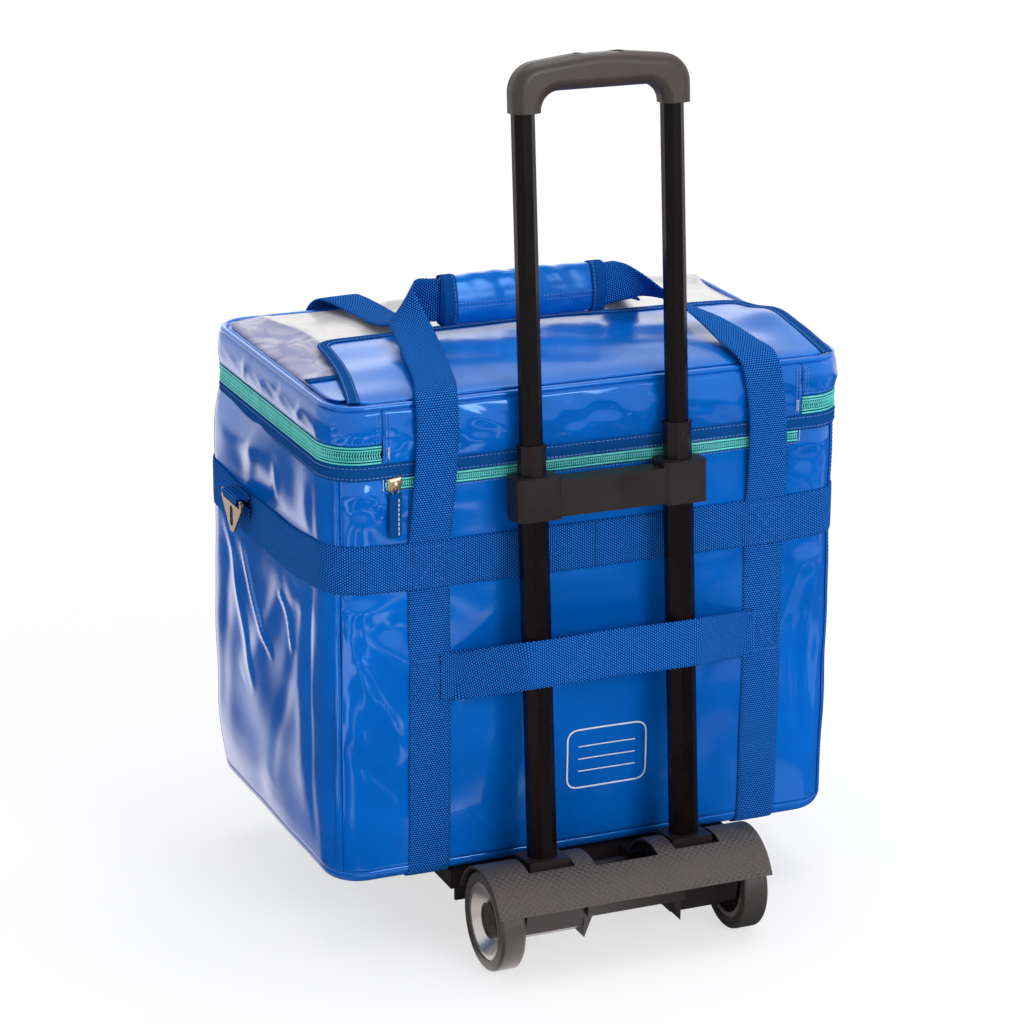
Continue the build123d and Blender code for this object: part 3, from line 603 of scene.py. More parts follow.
def clearFilm(name):
    # Clear film whose reflections are painted into its colour: a nearly opaque painted glare over most of it, and
    # a bluer see-through strip along its left side with a weaker painted reflection. The border between them is a
    # wavy line, x as a function of y.
    material, shader = newMaterial(name)
    place = ownPlace(shader)
    x, y = split(place)[:2]
    back = y - frontY
    sway = (back * filmBorder["swayRate"]).do("SINE") * filmBorder["sway"]
    border = back * -filmBorder["slant"] + filmBorder["x"] + sway
    glare = fit(x - border, -filmBorder["soft"], filmBorder["soft"])
    haze = noise(place, 26.0, 4.0, distort=1.4)
    # Painted reflection: the pale colour is a painted glare of the lamps on the film, and the bluer strip colour
    # mixes the cloth seen through with a weaker painted reflection.
    pale = ramp(haze, (0.3, (0.56, 0.545, 0.55)), (0.7, (0.74, 0.715, 0.705)))
    stripSheenColour = ramp(haze, (0.35, (0.22, 0.25, 0.50)), (0.52, (0.38, 0.38, 0.58)), (0.62, (0.55, 0.55, 0.68)))
    setInputs(shader, {"Base Color": blendColours(glare, stripSheenColour, pale), "Alpha": fit(glare, 0, 1, 0.72, 0.90),
                       "Specular IOR Level": fit(glare, 0, 1, 0.10, 0.22), "Roughness": 0.22})
    bump(shader, haze, 0.45, 0.0010)
    return material


dullCloth = {"Roughness": 0.90, "Specular IOR Level": 0.04, "Specular Tint": (0.20, 0.50, 1.0, 1.0)}
pvc = coatedCloth("coated blue cloth", (0.0, 0.098, 0.46), (0.0, 0.150, 0.66), 0.00028, 0.50, 0.08, (0.09, 0.17))
lidCloth = coatedCloth("blue lid cloth", (0.0, 0.105, 0.47), (0.0, 0.165, 0.68), 0.0007, 0.20, 0.15, (0.20, 0.28))
webbing = wovenCloth("blue webbing", picks, 0.82, (900.0, 2.0, 0.3),
                     [(0.34, (0.0, 0.020, 0.15)), (0.62, (0.0075, 0.0775, 0.3225)), (0.92, (0.030, 0.25, 0.84))],
                     (0.9, 0.0004), dullCloth)
binding = wovenCloth("blue grosgrain", fineRibs, 0.7, (700.0, 3.0, 0.4),
                     [(0.15, (0.0, 0.018, 0.11)), (0.95, (0.008, 0.095, 0.36))], (0.8, 0.00022), dullCloth)
tape = wovenCloth("turquoise tape", twill, 0.7, (800.0, 2.0, 0.4),
                  [(0.15, (0.0, 0.055, 0.09)), (0.95, (0.002, 0.16, 0.22))], (0.7, 0.0002), {"Roughness": 0.55})
thread = threadFinish("blue thread", (0.05, 0.16, 0.52), (0.16, 0.32, 0.75))
boxThread = threadFinish("strap thread", (0.004, 0.075, 0.36), (0.02, 0.17, 0.62))
navyThread = threadFinish("navy thread", (0.0, 0.012, 0.09), (0.005, 0.035, 0.20))
paleThread = threadFinish("pale thread", (0.45, 0.55, 0.72), (0.75, 0.80, 0.88))
teethFinish = plainFinish("turquoise teeth", (0.05, 0.54, 0.53), (0.20, 0.80, 0.76), 0.42, grainScale=900.0,
                          coat=0.06, specular=0.25)
film = clearFilm("clear film")
bronze = plainFinish("dark bronze", (0.34, 0.245, 0.14), (0.60, 0.47, 0.31), 0.26, 1.0, grainDepth=0.00004)
charcoal = plainFinish("charcoal plastic", (0.034, 0.026, 0.023), (0.048, 0.037, 0.034), 0.42, grainDepth=0.00010,
                       specular=0.36)
darkCharcoal = plainFinish("dark charcoal plastic", (0.012, 0.008, 0.009), (0.019, 0.014, 0.015), 0.40,
                           grainDepth=0.00008, specular=0.22)
collarFinish = plainFinish("collar plastic", (0.0065, 0.0035, 0.0040), (0.011, 0.007, 0.0075), 0.34,
                           grainDepth=0.00005, specular=0.20)
buttonFinish = plainFinish("button plastic", (0.040, 0.034, 0.031), (0.050, 0.044, 0.040), 0.40)
dimpled = dimpledPlastic("dimpled plastic", (0.042, 0.034, 0.031), (0.064, 0.052, 0.047))
tubeFinish = plainFinish("black tube", (0.0035, 0.0016, 0.0020), (0.0060, 0.0030, 0.0032), 0.26, 0.0,
                         grainScale=160.0, grainDepth=0.0, specular=0.10)
steel = plainFinish("bright steel", (0.50, 0.50, 0.51), (0.62, 0.62, 0.63), 0.25, 1.0)
darkSteel = plainFinish("black steel", (0.010, 0.009, 0.010), (0.018, 0.016, 0.017), 0.45, 0.2, specular=0.3)
rubber = plainFinish("tyre rubber", (0.040, 0.036, 0.034), (0.060, 0.054, 0.051), 0.50, grainDepth=0.00010)
rimFinish = plainFinish("silver rim", (0.42, 0.40, 0.385), (0.60, 0.58, 0.56), 0.34, 0.85, roughSpread=0.15)
hubFinish = plainFinish("hub cap", (0.055, 0.045, 0.040), (0.10, 0.085, 0.075), 0.36, 0.4, coat=0.15)
foamFinish = plainFinish("white foam", (0.72, 0.72, 0.70), (0.82, 0.82, 0.80), 0.85, grainScale=1300.0,
                         grainDepth=0.0005)
foilFinish = plainFinish("foil lining", (0.52, 0.54, 0.56), (0.72, 0.74, 0.76), 0.32, 0.85, grainScale=120.0,
                         grainDepth=0.0006)
inkFinish = plainFinish("pale print", (0.70, 0.76, 0.86), (0.82, 0.86, 0.92), 0.35)
print("materials made")

frameLooks = [
    (charcoal, ["grip"]),
    (darkCharcoal, ["bridge_clamp", "footplate", "axle_block_left", "axle_block_right"]),
    (collarFinish, ["mid_collars"]),
    (dimpled, ["base_shroud"]),
    (buttonFinish, ["release_button"]),
    (tubeFinish, ["lower_tubes", "mid_tubes", "upper_tubes"]),
    (steel, ["lock_rods", "button_springs", "frame_screws"]),
    (darkSteel, ["axle_rod", "footplate_pin"]),
    (rubber, ["tyre_left", "tyre_right", "footplate_feet"]),
    (rimFinish, ["rim_left", "rim_right"]),
    (hubFinish, ["hub_cap_left", "hub_cap_right"]),
    (foamFinish, ["foam_base", "foam_front", "foam_rear", "foam_left", "foam_right", "lid_foam"]),
    (foilFinish, ["liner"]),
    (bronze, ["ring_left", "ring_right", "main_slider_left", "main_slider_right", "main_pull_left",
              "main_pull_right"]),
]
for material, nodes in frameLooks:
    for name in nodes:
        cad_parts[name].data.materials.clear()
        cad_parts[name].data.materials.append(material)
print("frame nodes dressed")


wallParts = {"step": 0.0032, "overlap": 0.0015, "lap": 0.0010, "lapFade": 0.010, "dip": 0.0009, "dipFade": 0.0035,
             "thickness": 0.0012}


def makeWalls():
    # Each wall is the soft surface over its own stretch round the bag. The side walls lap over the front and
    # rear: they stand proud by the lap, and the front and rear dip under them.
    part, seam, half = wallParts, bagShape["seamAround"], roundTrip / 2
    top, low = bagShape["wallTop"], bagShape["bottomZ"] + bagShape["bottomRadius"]
    for face, a0, a1 in (("front", -seam, seam), ("right", seam, half - seam), ("rear", half - seam, half + seam),
                         ("left", half + seam, roundTrip - seam)):
        side = face in ("right", "left")
        overlap = part["overlap"] if side else 0
        a = np.linspace(a0 - overlap, a1 + overlap, int((a1 - a0) / part["step"]) + 1)[None, :]
        z = np.linspace(low, top, int((top - low) / part["step"]) + 1)[:, None]
        edge = np.clip(np.minimum(a - a0, a1 - a) + part["overlap"], 0, 1)
        lap = part["lap"] * np.exp(-edge / part["lapFade"])
        dip = -part["dip"] * np.exp(-(edge / part["dipFade"]) ** 2)
        piece = gridPiece(face + "Wall", wallPoint(a, z, lap if side else dip), planeUv(a, z))
        finishPiece(thicken(piece, part["thickness"]), bagBody, pvc, face + "_panel")


def makeBase():
    # The base: a quarter-round from the wall's foot down to the underside, then rings drawn in to the middle.
    columns = int(roundTrip / 0.006)
    a = np.linspace(0, roundTrip, columns, endpoint=False)
    radius, low = bagShape["bottomRadius"], bagShape["bottomZ"]
    foot = swellAt(a, low + radius)
    rings = []
    for turn in np.linspace(0, math.pi / 2, 9):
        inset = radius * (1 - math.cos(turn))
        rings.append(bandPoint(a, low + radius * (1 - math.sin(turn)), foot * math.cos(turn) - inset)[0])
    x, y = aroundBag(a, -radius)[:2]
    for share in np.linspace(0, 1, 24)[1:] ** 0.9:
        keep = 1 - 0.97 * share
        rings.append(xyz(x * keep, midY + (y - midY) * keep, low + 0.0012 * np.sin(share * math.pi)))
    faces = gridFaces(len(rings), columns, closeColumns=True)[:, ::-1].tolist()
    last = (len(rings) - 1) * columns
    faces.append(list(range(last, last + columns))[::-1])
    piece = fixNormals(putMesh("baseSkin", np.stack(rings), faces))
    finishPiece(thicken(piece, wallParts["thickness"]), bagBody, pvc, "base_panel")


def wallNormal(a, z):
    # Outward direction of the soft wall, from small steps round it and up it.
    step = 0.0015
    du = wallPoint(a + step, z) - wallPoint(a - step, z)
    dv = wallPoint(a, z + step) - wallPoint(a, z - step)
    return unit(np.cross(du, dv))


seamRow = {"low": 0.082, "high": 0.415, "beside": 0.0042, "out": 0.0007, "pitch": 0.0036}


def makeWallSeams():
    # A row of stitches beside each corner seam of the walls.
    z, beside = np.linspace(seamRow["low"], seamRow["high"], 120), bagShape["seamAround"] + seamRow["beside"]
    rows = [stitchRow(wallPoint(a, z, seamRow["out"]), wallNormal(a, z), pitch=seamRow["pitch"])
            for a in (-beside, beside, roundTrip / 2 - beside, roundTrip / 2 + beside)]
    finishJoined("cornerStitches", rows, bagBody, navyThread)


makeWalls()
makeBase()
makeWallSeams()
print("walls and base made")


rimBand = {"low": 0.4150, "high": 0.4286, "proud": 0.0016, "inner": 0.0125}


def bandAround(name, a, profile, closed):
    # A profile of (out, z) points carried round the bag at the distances a; UV is in metres.
    profile = np.asarray(profile, float)
    points = bandPoint(a[:, None], profile[None, :, 1], profile[None, :, 0])[0]
    return fixNormals(gridPiece(name, points, planeUv(a[:, None], runLength(profile)[None, :]), closeRows=closed))


def makeRim():
    # Binding tape folded over the wall's top edge; its outer leg swells a little between its edges.
    low, high, proud, inner = (rimBand[key] for key in ("low", "high", "proud", "inner"))
    profile = [(0.0000, low + 0.0004), (proud * 0.8, low), (proud, low + 0.0012),
               (proud + 0.0003, (low + high) / 2), (proud, high - 0.0020), (proud - 0.0010, high - 0.0004),
               (-0.0010, high), (-inner, high), (-inner, high - 0.008)]
    piece = bandAround("rimBinding", np.linspace(0, roundTrip, 420, endpoint=False), profile, True)
    finishPiece(thicken(piece, 0.0005, 0.0), bagBody, binding, "rim_binding")
    rows = [stitchRow(*bandPoint(np.linspace(0, roundTrip, 700), z, proud + 0.0005), pitch=0.0036, length=0.0025)
            for z in (low + 0.0022, high - 0.0028)]
    finishJoined("rimStitches", rows, bagBody, thread)


zipShape = {"meetZ": 0.4360, "startA": 0.1874, "toothPitch": 0.0021, "tooth": (0.0032, 0.0013, 0.0018, 0.7),
            "bodyLow": 0.4283, "lidHigh": 0.4440, "tapeOut": -0.0002}


def makeZipHalf(name, upper, body, node):
    # One half of the main zip: woven tape, slanting teeth in a row, and two raised cords beside them.
    start, meet, out = zipShape["startA"], zipShape["meetZ"], zipShape["tapeOut"]
    far, sign = (zipShape["lidHigh"], 1) if upper else (zipShape["bodyLow"], -1)
    heights = np.abs(far - meet) * np.array([0.06, 0.30, 0.42, 0.56, 0.66, 1.0])
    outs = out + np.array([-0.0004, 0.0, 0.0010, 0.0010, 0.0, 0.0])
    profile = np.stack([outs, meet + sign * heights], axis=-1)
    piece = bandAround(name, np.linspace(start, roundTrip - start, 520), profile, False)
    finishPiece(thicken(piece, 0.0008), body, tape, node)
    places, outward = bandPoint(np.arange(start + 0.001, roundTrip - start, zipShape["toothPitch"]),
                                meet + sign * 0.0016, out + 0.0008)
    lean = unit(upward + 0.35 * np.cross(upward, outward) * sign)
    teeth = copies(name + "Teeth", *beadShape(*zipShape["tooth"]), places, lean, outward)
    finishPiece(teeth, body, teethFinish)
    spots = np.linspace(start, roundTrip - start, 700)
    cords = [ribbon(name, bandPoint(spots, meet + sign * up, out + 0.0012)[0], upward, tall, 0.0015, 6, 0.9)
             for up, tall in ((0.0042, 0.0012), (0.0066, 0.0015))]
    finishJoined(name + "Edge", cords, body, teethFinish)


def barTacks(name, xs, zs, out):
    # Short upright rows of pale thread that close off a zip's ends.
    z = np.linspace(*zs, 12)
    rows = [stitchRow(xyz(x, frontY - out, z), toFront, 0.0016, 0.0018, 0.0006) for x in xs]
    finishJoined(name, rows, bagBody, paleThread)


hingeFolds = [(-0.120, 0.462, -0.060, 0.452, 0.004, 0.0006), (-0.040, 0.445, 0.030, 0.450, 0.006, -0.0008),
              (0.060, 0.462, 0.120, 0.448, 0.005, 0.0008), (-0.170, 0.452, -0.165, 0.434, 0.004, -0.0005),
              (0.020, 0.464, 0.090, 0.466, 0.003, -0.0005)]
lidFolds = [(-0.255, 0.470, -0.300, 0.449, 0.0060, 0.0005), (-0.330, 0.469, -0.375, 0.450, 0.0075, -0.0005),
            (-0.405, 0.469, -0.430, 0.450, 0.0065, 0.0005), (-0.210, 0.462, -0.235, 0.453, 0.0050, -0.0006),
            (0.212, 0.468, 0.240, 0.450, 0.0050, 0.0010), (0.235, 0.460, 0.262, 0.450, 0.0045, -0.0008),
            (0.330, 0.467, 0.360, 0.450, 0.0060, 0.0006), (0.420, 0.467, 0.445, 0.449, 0.0060, -0.0005),
            (0.640, 0.467, 0.665, 0.449, 0.0060, 0.0006), (0.760, 0.466, 0.735, 0.450, 0.0060, -0.0005)]
# Bands of cloth between the zips and the piping. "ripples" are (height, wave number round, wave number up), and
# the stitches at the ends follow a puff given by (foot, height, tall).
bandShape = {
    "hinge": {"low": 0.4270, "count": 36, "puff": 0.0030, "power": 0.7, "flatten": 0.4, "tuck": 0.0024,
              "ripples": [(0.0003, 160, 300), (0.00035, 71, -240)], "folds": hingeFolds, "out": 0.0006,
              "thickness": 0.0012, "stitches": (0.4290, 20), "stitchPuff": (0.0014, 0.0022, 0.0442)},
    "lid": {"low": 0.4436, "count": 24, "puff": 0.0020, "power": 0.6, "flatten": 0.0, "tuck": 0.0022,
            "ripples": [(0.00006, 160, 420), (0.00012, 61, -210)], "folds": lidFolds, "out": 0.0004,
            "thickness": 0.0014, "stitches": (0.4450, 14), "stitchPuff": (0.0010, 0.0016, 0.0276)},
    "top": 0.4730, "seamZ": 0.4716, "tuckZ": 0.4706, "tuckReach": 0.0024, "hingeHalf": 0.1865, "stitchTop": 0.4690,
}


def puffedBand(name, key, a, body, node, ends):
    # Cloth puffed between its seams, with short slack folds, and upright stitches at its ends.
    band = bandShape[key]
    z = np.linspace(band["low"], bandShape["top"], band["count"])[:, None]
    arch = np.sin(np.clip((z - band["low"]) / (bandShape["seamZ"] - band["low"]), 0, 1) * math.pi)
    puff = band["puff"] * arch ** band["power"] * (1 - band["flatten"] * (a / bandShape["hingeHalf"]) ** 8)
    puff = puff - band["tuck"] * np.clip((z - bandShape["tuckZ"]) / bandShape["tuckReach"], 0, 1)
    ripple = sum(height * np.sin(a * ka + z * kz) for height, ka, kz in band["ripples"])
    out = puff + arch * ripple + foldHeight(a, z, band["folds"])
    piece = gridPiece(name, bandPoint(a, z, out + band["out"])[0], planeUv(a, z))
    finishPiece(thicken(piece, band["thickness"]), body, pvc, node)
    foot, height, tall = band["stitchPuff"]
    z = np.linspace(band["stitches"][0], bandShape["stitchTop"], band["stitches"][1])
    out = foot + height * np.sin((z - band["low"]) / tall * math.pi) ** band["power"]
    return [stitchRow(*bandPoint(end, z, out)) for end in ends]


def makeBands():
    # The plain cloth between the pocket and the lid's piping, and the lid's band round the other three sides.
    rows = puffedBand("hingePanel", "hinge", np.linspace(-0.1865, 0.1865, 150)[None, :], bagBody, "hinge_panel",
                      (-0.1840, -0.1812, 0.1812, 0.1840))
    finishJoined("hingeStitches", rows, bagBody, thread)
    barTacks("zipEndTacks", (-0.1828, -0.1816, 0.1816, 0.1828), (0.4325, 0.4415), 0.0038)
    rows = puffedBand("lidBand", "lid", np.linspace(0.1870, roundTrip - 0.1870, 420)[None, :], lidBody, "lid_wall",
                      (0.1895, 0.1920, roundTrip - 0.1895, roundTrip - 0.1920))
    longRow = stitchRow(*bandPoint(np.linspace(0.1885, roundTrip - 0.1885, 600), 0.4462, 0.0013))
    finishJoined("lidBandStitches", [longRow] + rows, lidBody, thread)


makeRim()
makeZipHalf("zipBodyHalf", False, bagBody, "zip_body_side")
makeZipHalf("zipLidHalf", True, lidBody, "zip_lid_side")
makeBands()
print("rim, zips and bands made")


lidShape = {"crown": 0.0068, "rise": 0.0010, "pipingRadius": 0.0025, "filmLift": 0.0016, "flapLift": 0.0034,
            "edgeIn": 0.0024, "rings": 60, "columns": 300}


def lidHeight(x, y):
    # The lid's crown: one arch across and one front to back, multiplied, with slow waves on top.
    u, v = np.clip(np.abs(x) / halfWide, 0, 1), np.clip(np.abs(y - midY) / halfDeep, 0, 1)
    crownAt = lidShape["crown"] * (1 - u ** 2) ** 0.9 * (1 - v ** 2) ** 0.7
    edge = (1 - u ** 6) * (1 - v ** 6)
    waves = 0.0004 * np.sin(34 * x + 21 * y) + 0.0003 * np.sin(-52 * x + 47 * y + 1.3)
    return bagShape["rimZ"] + lidShape["rise"] + crownAt + edge * waves


def makeLidTop():
    # The lid's skin: rings of the rounded rectangle drawn in to the middle and lifted to the crown.
    x, y = aroundBag(np.linspace(0, roundTrip, lidShape["columns"], endpoint=False), -lidShape["edgeIn"])[:2]
    shares = np.linspace(0, 1, lidShape["rings"])[:, None] ** 0.85
    keep = 1 - 0.985 * shares
    x, y = x * keep, midY + (y - midY) * keep
    dip = np.exp(-shares / 0.012)
    z = lidHeight(x, y) * (1 - dip) + dip * (bagShape["rimZ"] + 0.0002)
    finishPiece(domePiece("lidSkin", xyz(x, y, z), 0.0012), lidBody, lidCloth, "lid_top")


def makePiping():
    # Round piping: a small circle carried round the lid's edge.
    a = np.linspace(0, roundTrip, 520, endpoint=False)[:, None]
    turn = np.linspace(0, 2 * math.pi, 14, endpoint=False)[None, :]
    r = lidShape["pipingRadius"]
    points = bandPoint(a, bagShape["rimZ"] + r * np.sin(turn), -r + (r + 0.0001) * np.cos(turn))[0]
    piece = gridPiece("lidPiping", points, planeUv(a, turn * r), closeRows=True, closeColumns=True)
    finishPiece(fixNormals(piece), lidBody, pvc, "lid_piping")


filmShape = {"halfWide": 0.2215, "front": 0.0185, "back": 0.0085, "corner": 0.026, "ripple": 0.0007,
             "rings": 70, "columns": 340, "edgeDip": 0.0009, "thickness": 0.0004,
             "fold": 0.0016, "foldReach": 0.0040, "rightX": 0.192, "rightFold": 0.0014, "rightReach": 0.005,
             "rearPuff": 0.0050, "puffBack": 0.026, "puffReach": 0.013, "puffMiddle": (-0.095, 0.100, 0.02),
             "puffRight": (0.162, 0.012), "underFlap": 0.170, "rippleLow": -0.0006,
             "hemBack": 0.0800, "hemTape": 0.0095, "hemLift": 0.0009}


def roundedPatch(x0, x1, y0, y1, radius, rings, columns):
    # Points of a rounded rectangle, in rings from its edge to its middle.
    hx, hy = (x1 - x0) / 2 - radius, (y1 - y0) / 2 - radius
    run = roundedRun(hx, hy, radius)
    x, y = onRun(run, radius, np.linspace(0, run[0][-1], columns, endpoint=False))[:2]
    keep = 1 - 0.98 * np.linspace(0, 1, rings)[:, None] ** 0.9
    return (x0 + x1) / 2 + x * keep, (y0 + y1) / 2 + y * keep, keep


def filmHeight(x, y):
    # Film lying on the crown: soft ripples, one long slack fold on each side, and a puff along its rear edge
    # between the straps. Under the flap it lies flat.
    shape, border, back = filmShape, filmBorder, y - frontY
    ripple = np.sin(31 * x - 47 * y + 0.7) * np.sin(26 * y + 1.1) + 0.5 * np.sin(83 * y - 19 * x)
    ripple = np.clip(shape["ripple"] * ripple, shape["rippleLow"], 1)
    (leftX, rightX, soft), (endX, endSoft) = shape["puffMiddle"], shape["puffRight"]
    between = np.clip((x - leftX) / soft, 0, 1) * np.clip((rightX - x) / soft, 0, 1)
    between = between + np.clip((x - endX) / endSoft, 0, 1)
    rearPuff = shape["rearPuff"] * between * np.exp(-((y - (rearY - shape["puffBack"])) / shape["puffReach"]) ** 2)
    leftLine = border["x"] - border["slant"] * back + border["sway"] * np.sin(back * border["swayRate"])
    rightLine = shape["rightX"] - 0.10 * back + 0.005 * np.sin(back * 55)
    folds = (shape["fold"] * np.exp(-((x - leftLine) / shape["foldReach"]) ** 2)
             + shape["rightFold"] * np.exp(-((x - rightLine) / shape["rightReach"]) ** 2))
    pastFlap = 1 / (1 + np.exp(-(back - shape["underFlap"]) / 0.006))
    beside = np.clip(np.abs(x - 0.0155) / 0.1935 - 0.94, 0, 0.06) / 0.06
    free = np.maximum(pastFlap, beside)
    return rearPuff + lidHeight(x, y) + lidShape["filmLift"] + free * (folds + ripple)


def makeFilm():
    # The clear window pocket over the whole lid.
    shape = filmShape
    wide, front, rear = shape["halfWide"], frontY + shape["front"], rearY - shape["back"]
    x, y, keep = roundedPatch(-wide, wide, front, rear, shape["corner"], shape["rings"], shape["columns"])
    z = filmHeight(x, y) - shape["edgeDip"] * np.exp(-(1 - keep) / 0.010)
    piece = finishPiece(domePiece("windowFilm", xyz(x, y, z), shape["thickness"]), lidBody, film, "window_pocket")


def makeFilmHem():
    # The pocket's front strip: blue cloth over the film's front edge, bound with tape where it ends.
    wide, front, back = filmShape["halfWide"] + 0.0005, filmShape["front"] - 0.001, filmShape["hemBack"]
    behind = np.linspace(front, back, 30)[:, None]
    narrowed = 1 - 0.028 * np.exp(-(behind - front) / 0.007)
    x, y = np.linspace(-wide, wide, 160)[None, :] * narrowed, frontY + behind
    piece = gridPiece("filmHem", xyz(x, y, filmHeight(x, y) + filmShape["hemLift"]))
    finishPiece(thicken(faceUp(piece), 0.0006), lidBody, lidCloth)
    x, y = np.linspace(-wide, wide, 200), frontY + back - 0.002
    line = xyz(x, y, filmHeight(x, y) + 0.0016)
    tapePiece = ribbon("filmHemTape", line, toRear, filmShape["hemTape"], 0.0010, 8)
    finishPiece(tapePiece, lidBody, binding)


# The flap's left and right edges: (distance behind the front, x).
flapShape = {"x0": -0.1830, "x1": 0.2130, "front": 0.0062, "back": 0.1690, "corner": 0.018, "tape": 0.0105,
             "left": [(0.0062, -0.2125), (0.0775, -0.1945), (0.1196, -0.1873), (0.1690, -0.1830)],
             "right": [(0.0062, 0.2190), (0.0775, 0.2200), (0.1196, 0.2175), (0.1690, 0.2130)],
             "swell": 0.0022, "ripple": 0.0006, "edgeLift": 0.0022, "frontHold": 0.0024, "puff": 0.0085,
             "puffAt": (0.208, 0.095), "puffReach": (0.024, 0.045), "rings": 60, "columns": 320,
             "thickness": 0.0013}


def flapX(x, y):
    # Stretches the straight patch between the flap's own slanting side edges.
    behind = y - frontY
    left = np.interp(behind, *np.array(flapShape["left"]).T)
    right = np.interp(behind, *np.array(flapShape["right"]).T)
    return left + (x - flapShape["x0"]) / (flapShape["x1"] - flapShape["x0"]) * (right - left)


def flapHeight(x, y):
    # The flap over the film: gently swollen, with slack folds that run across it, a lifted inner edge and a puff
    # at its right end.
    shape, back = flapShape, y - frontY
    v = np.clip((back - shape["front"]) / (shape["back"] - shape["front"]), 0, 1)
    swell = shape["swell"] * np.sin(v * math.pi) ** 0.8 + shape["edgeLift"] * v ** 5
    ripple = shape["ripple"] * np.sin(v * 15 + 5 * np.sin(x * 9)) * np.sin(v * math.pi)
    (puffX, puffBack), (reachX, reachBack) = shape["puffAt"], shape["puffReach"]
    puff = shape["puff"] * np.exp(-((x - puffX) / reachX) ** 2 - ((back - puffBack) / reachBack) ** 2)
    return lidHeight(x, y) + lidShape["flapLift"] + swell + ripple - shape["frontHold"] * np.exp(-v / 0.05) + puff


def makeFlap():
    # Inner corners round, outer corners nearly square where the flap is sewn to the lid's edge.
    shape = flapShape
    x, y = roundedPatch(shape["x0"], shape["x1"], frontY + shape["front"], frontY + shape["back"],
                        shape["corner"], shape["rings"], shape["columns"])[:2]
    x = flapX(x, y)
    piece = domePiece("documentFlap", xyz(x, y, flapHeight(x, y)), shape["thickness"])
    finishPiece(piece, lidBody, lidCloth, "document_flap")

    # Binding tape along the three free edges.
    inset = shape["tape"] / 2 - 0.001
    x0, x1, r = shape["x0"] + inset, shape["x1"] - inset, shape["corner"] - inset
    front, back = frontY + shape["front"] + 0.002, frontY + shape["back"] - inset
    turn = np.linspace(0, math.pi / 2, 12)
    steps = [0, 0.05, 0.10]
    outline = np.concatenate([
        [(x0, front + step) for step in steps],
        np.column_stack([x0 + r - r * np.cos(turn), back - r + r * np.sin(turn)]),
        np.column_stack([x1 - r + r * np.sin(turn), back - r + r * np.cos(turn)]),
        [(x1, front + step) for step in steps[::-1]]])
    outline[:, 0] = flapX(outline[:, 0], outline[:, 1])
    pathX, pathY = smoothPath(outline, 420, 0.012).T
    line = xyz(pathX, pathY, flapHeight(pathX, pathY) + 0.0004)
    across = np.cross(upward, unit(np.gradient(line, axis=0)))
    tapePiece = ribbon("flapBinding", line, across, shape["tape"], 0.0014, 10, 0.4)
    finishPiece(tapePiece, lidBody, binding)
    seams = [stitchRow(line + side * across * (shape["tape"] / 2 - 0.0018) + [0, 0, 0.0008], upward)
             for side in (-1, 1)]
    stitches = finishJoined("flapStitches", seams, lidBody, thread)


makeLidTop()
makePiping()
makeFilm()
makeFilmHem()
makeFlap()
print("lid top made")


strapShape = {"thickness": 0.0018, "beltWidth": 0.040, "strapWidth": 0.036, "wrapZ": 0.515}
sleeveShape = {"ends": (-0.1285, 0.1370), "endZ": 0.2412, "tubeZ": 0.2565, "tubeFace": -0.0449, "tubeEdge": 0.0763,
               "lean": 0.086}


# The belt's rise or sag against the distance from the middle of the front, on either side.
beltShape = {"at": [0.0, 0.170, 0.215, 0.250, 0.300, 0.400, 0.440, 0.480, 0.540, 0.720],
             "height": [0.0, 0.0005, 0.0025, 0.0010, -0.0060, -0.0070, -0.0050, 0.0020, 0.0, 0.0]}


def makeBelt():
    # The belt goes all the way round, over the upright straps, which lift it a little; it sags at the sides.
    a = np.linspace(0, roundTrip, 700)
    x, y, nx, ny = aroundBag(a)
    over = sum(0.0016 * np.abs(ny) / (1 + np.exp((np.abs(x - strapX) - 0.0195) / 0.0015))
               for strapX in bagShape["strapXs"])
    sag = np.interp(np.abs(fromFront(a)), beltShape["at"], beltShape["height"])
    sag = np.convolve(np.concatenate([sag[-12:], sag, sag[:12]]), np.ones(25) / 25, mode="valid")
    line = wallPoint(a, bagShape["beltZ"] + sag, 0.0010 + over)
    line[-1] = line[0]
    piece = ribbon("waistBelt", line, upward, strapShape["beltWidth"], strapShape["thickness"], 14)
    finishPiece(piece, bagBody, webbing, "waist_belt")


uprightShape = {"top": 0.352, "foot": 0.080, "out": 0.0009, "thickness": 0.0017}


def uprightLine(x):
    # A sewn strap: down the front on the wall, round under the base and up the rear wall.
    out, radius, low = uprightShape["out"], bagShape["bottomRadius"], bagShape["bottomZ"]
    z = np.linspace(uprightShape["top"], uprightShape["foot"], 110)
    turn = np.linspace(0.08, math.pi / 2, 10)
    cornerY, cornerZ = (radius + out) * np.cos(turn), low + radius - (radius + out) * np.sin(turn)
    under = np.linspace(frontY + radius, rearY - radius, 42)[1:-1]
    return np.concatenate([
        wallPoint(x, z, out), xyz(x, frontY + radius - cornerY, cornerZ), xyz(x, under, low - out),
        xyz(x, rearY - radius + cornerY, cornerZ)[::-1], wallPoint(roundTrip / 2 - x, z[::-1], out)])


def makeUprightStraps():
    straps = [ribbon("strap", uprightLine(x), toRight, strapShape["strapWidth"], uprightShape["thickness"], 12)
              for x in bagShape["strapXs"]]
    finishJoined("uprightStraps", straps, bagBody, webbing, "body_straps")


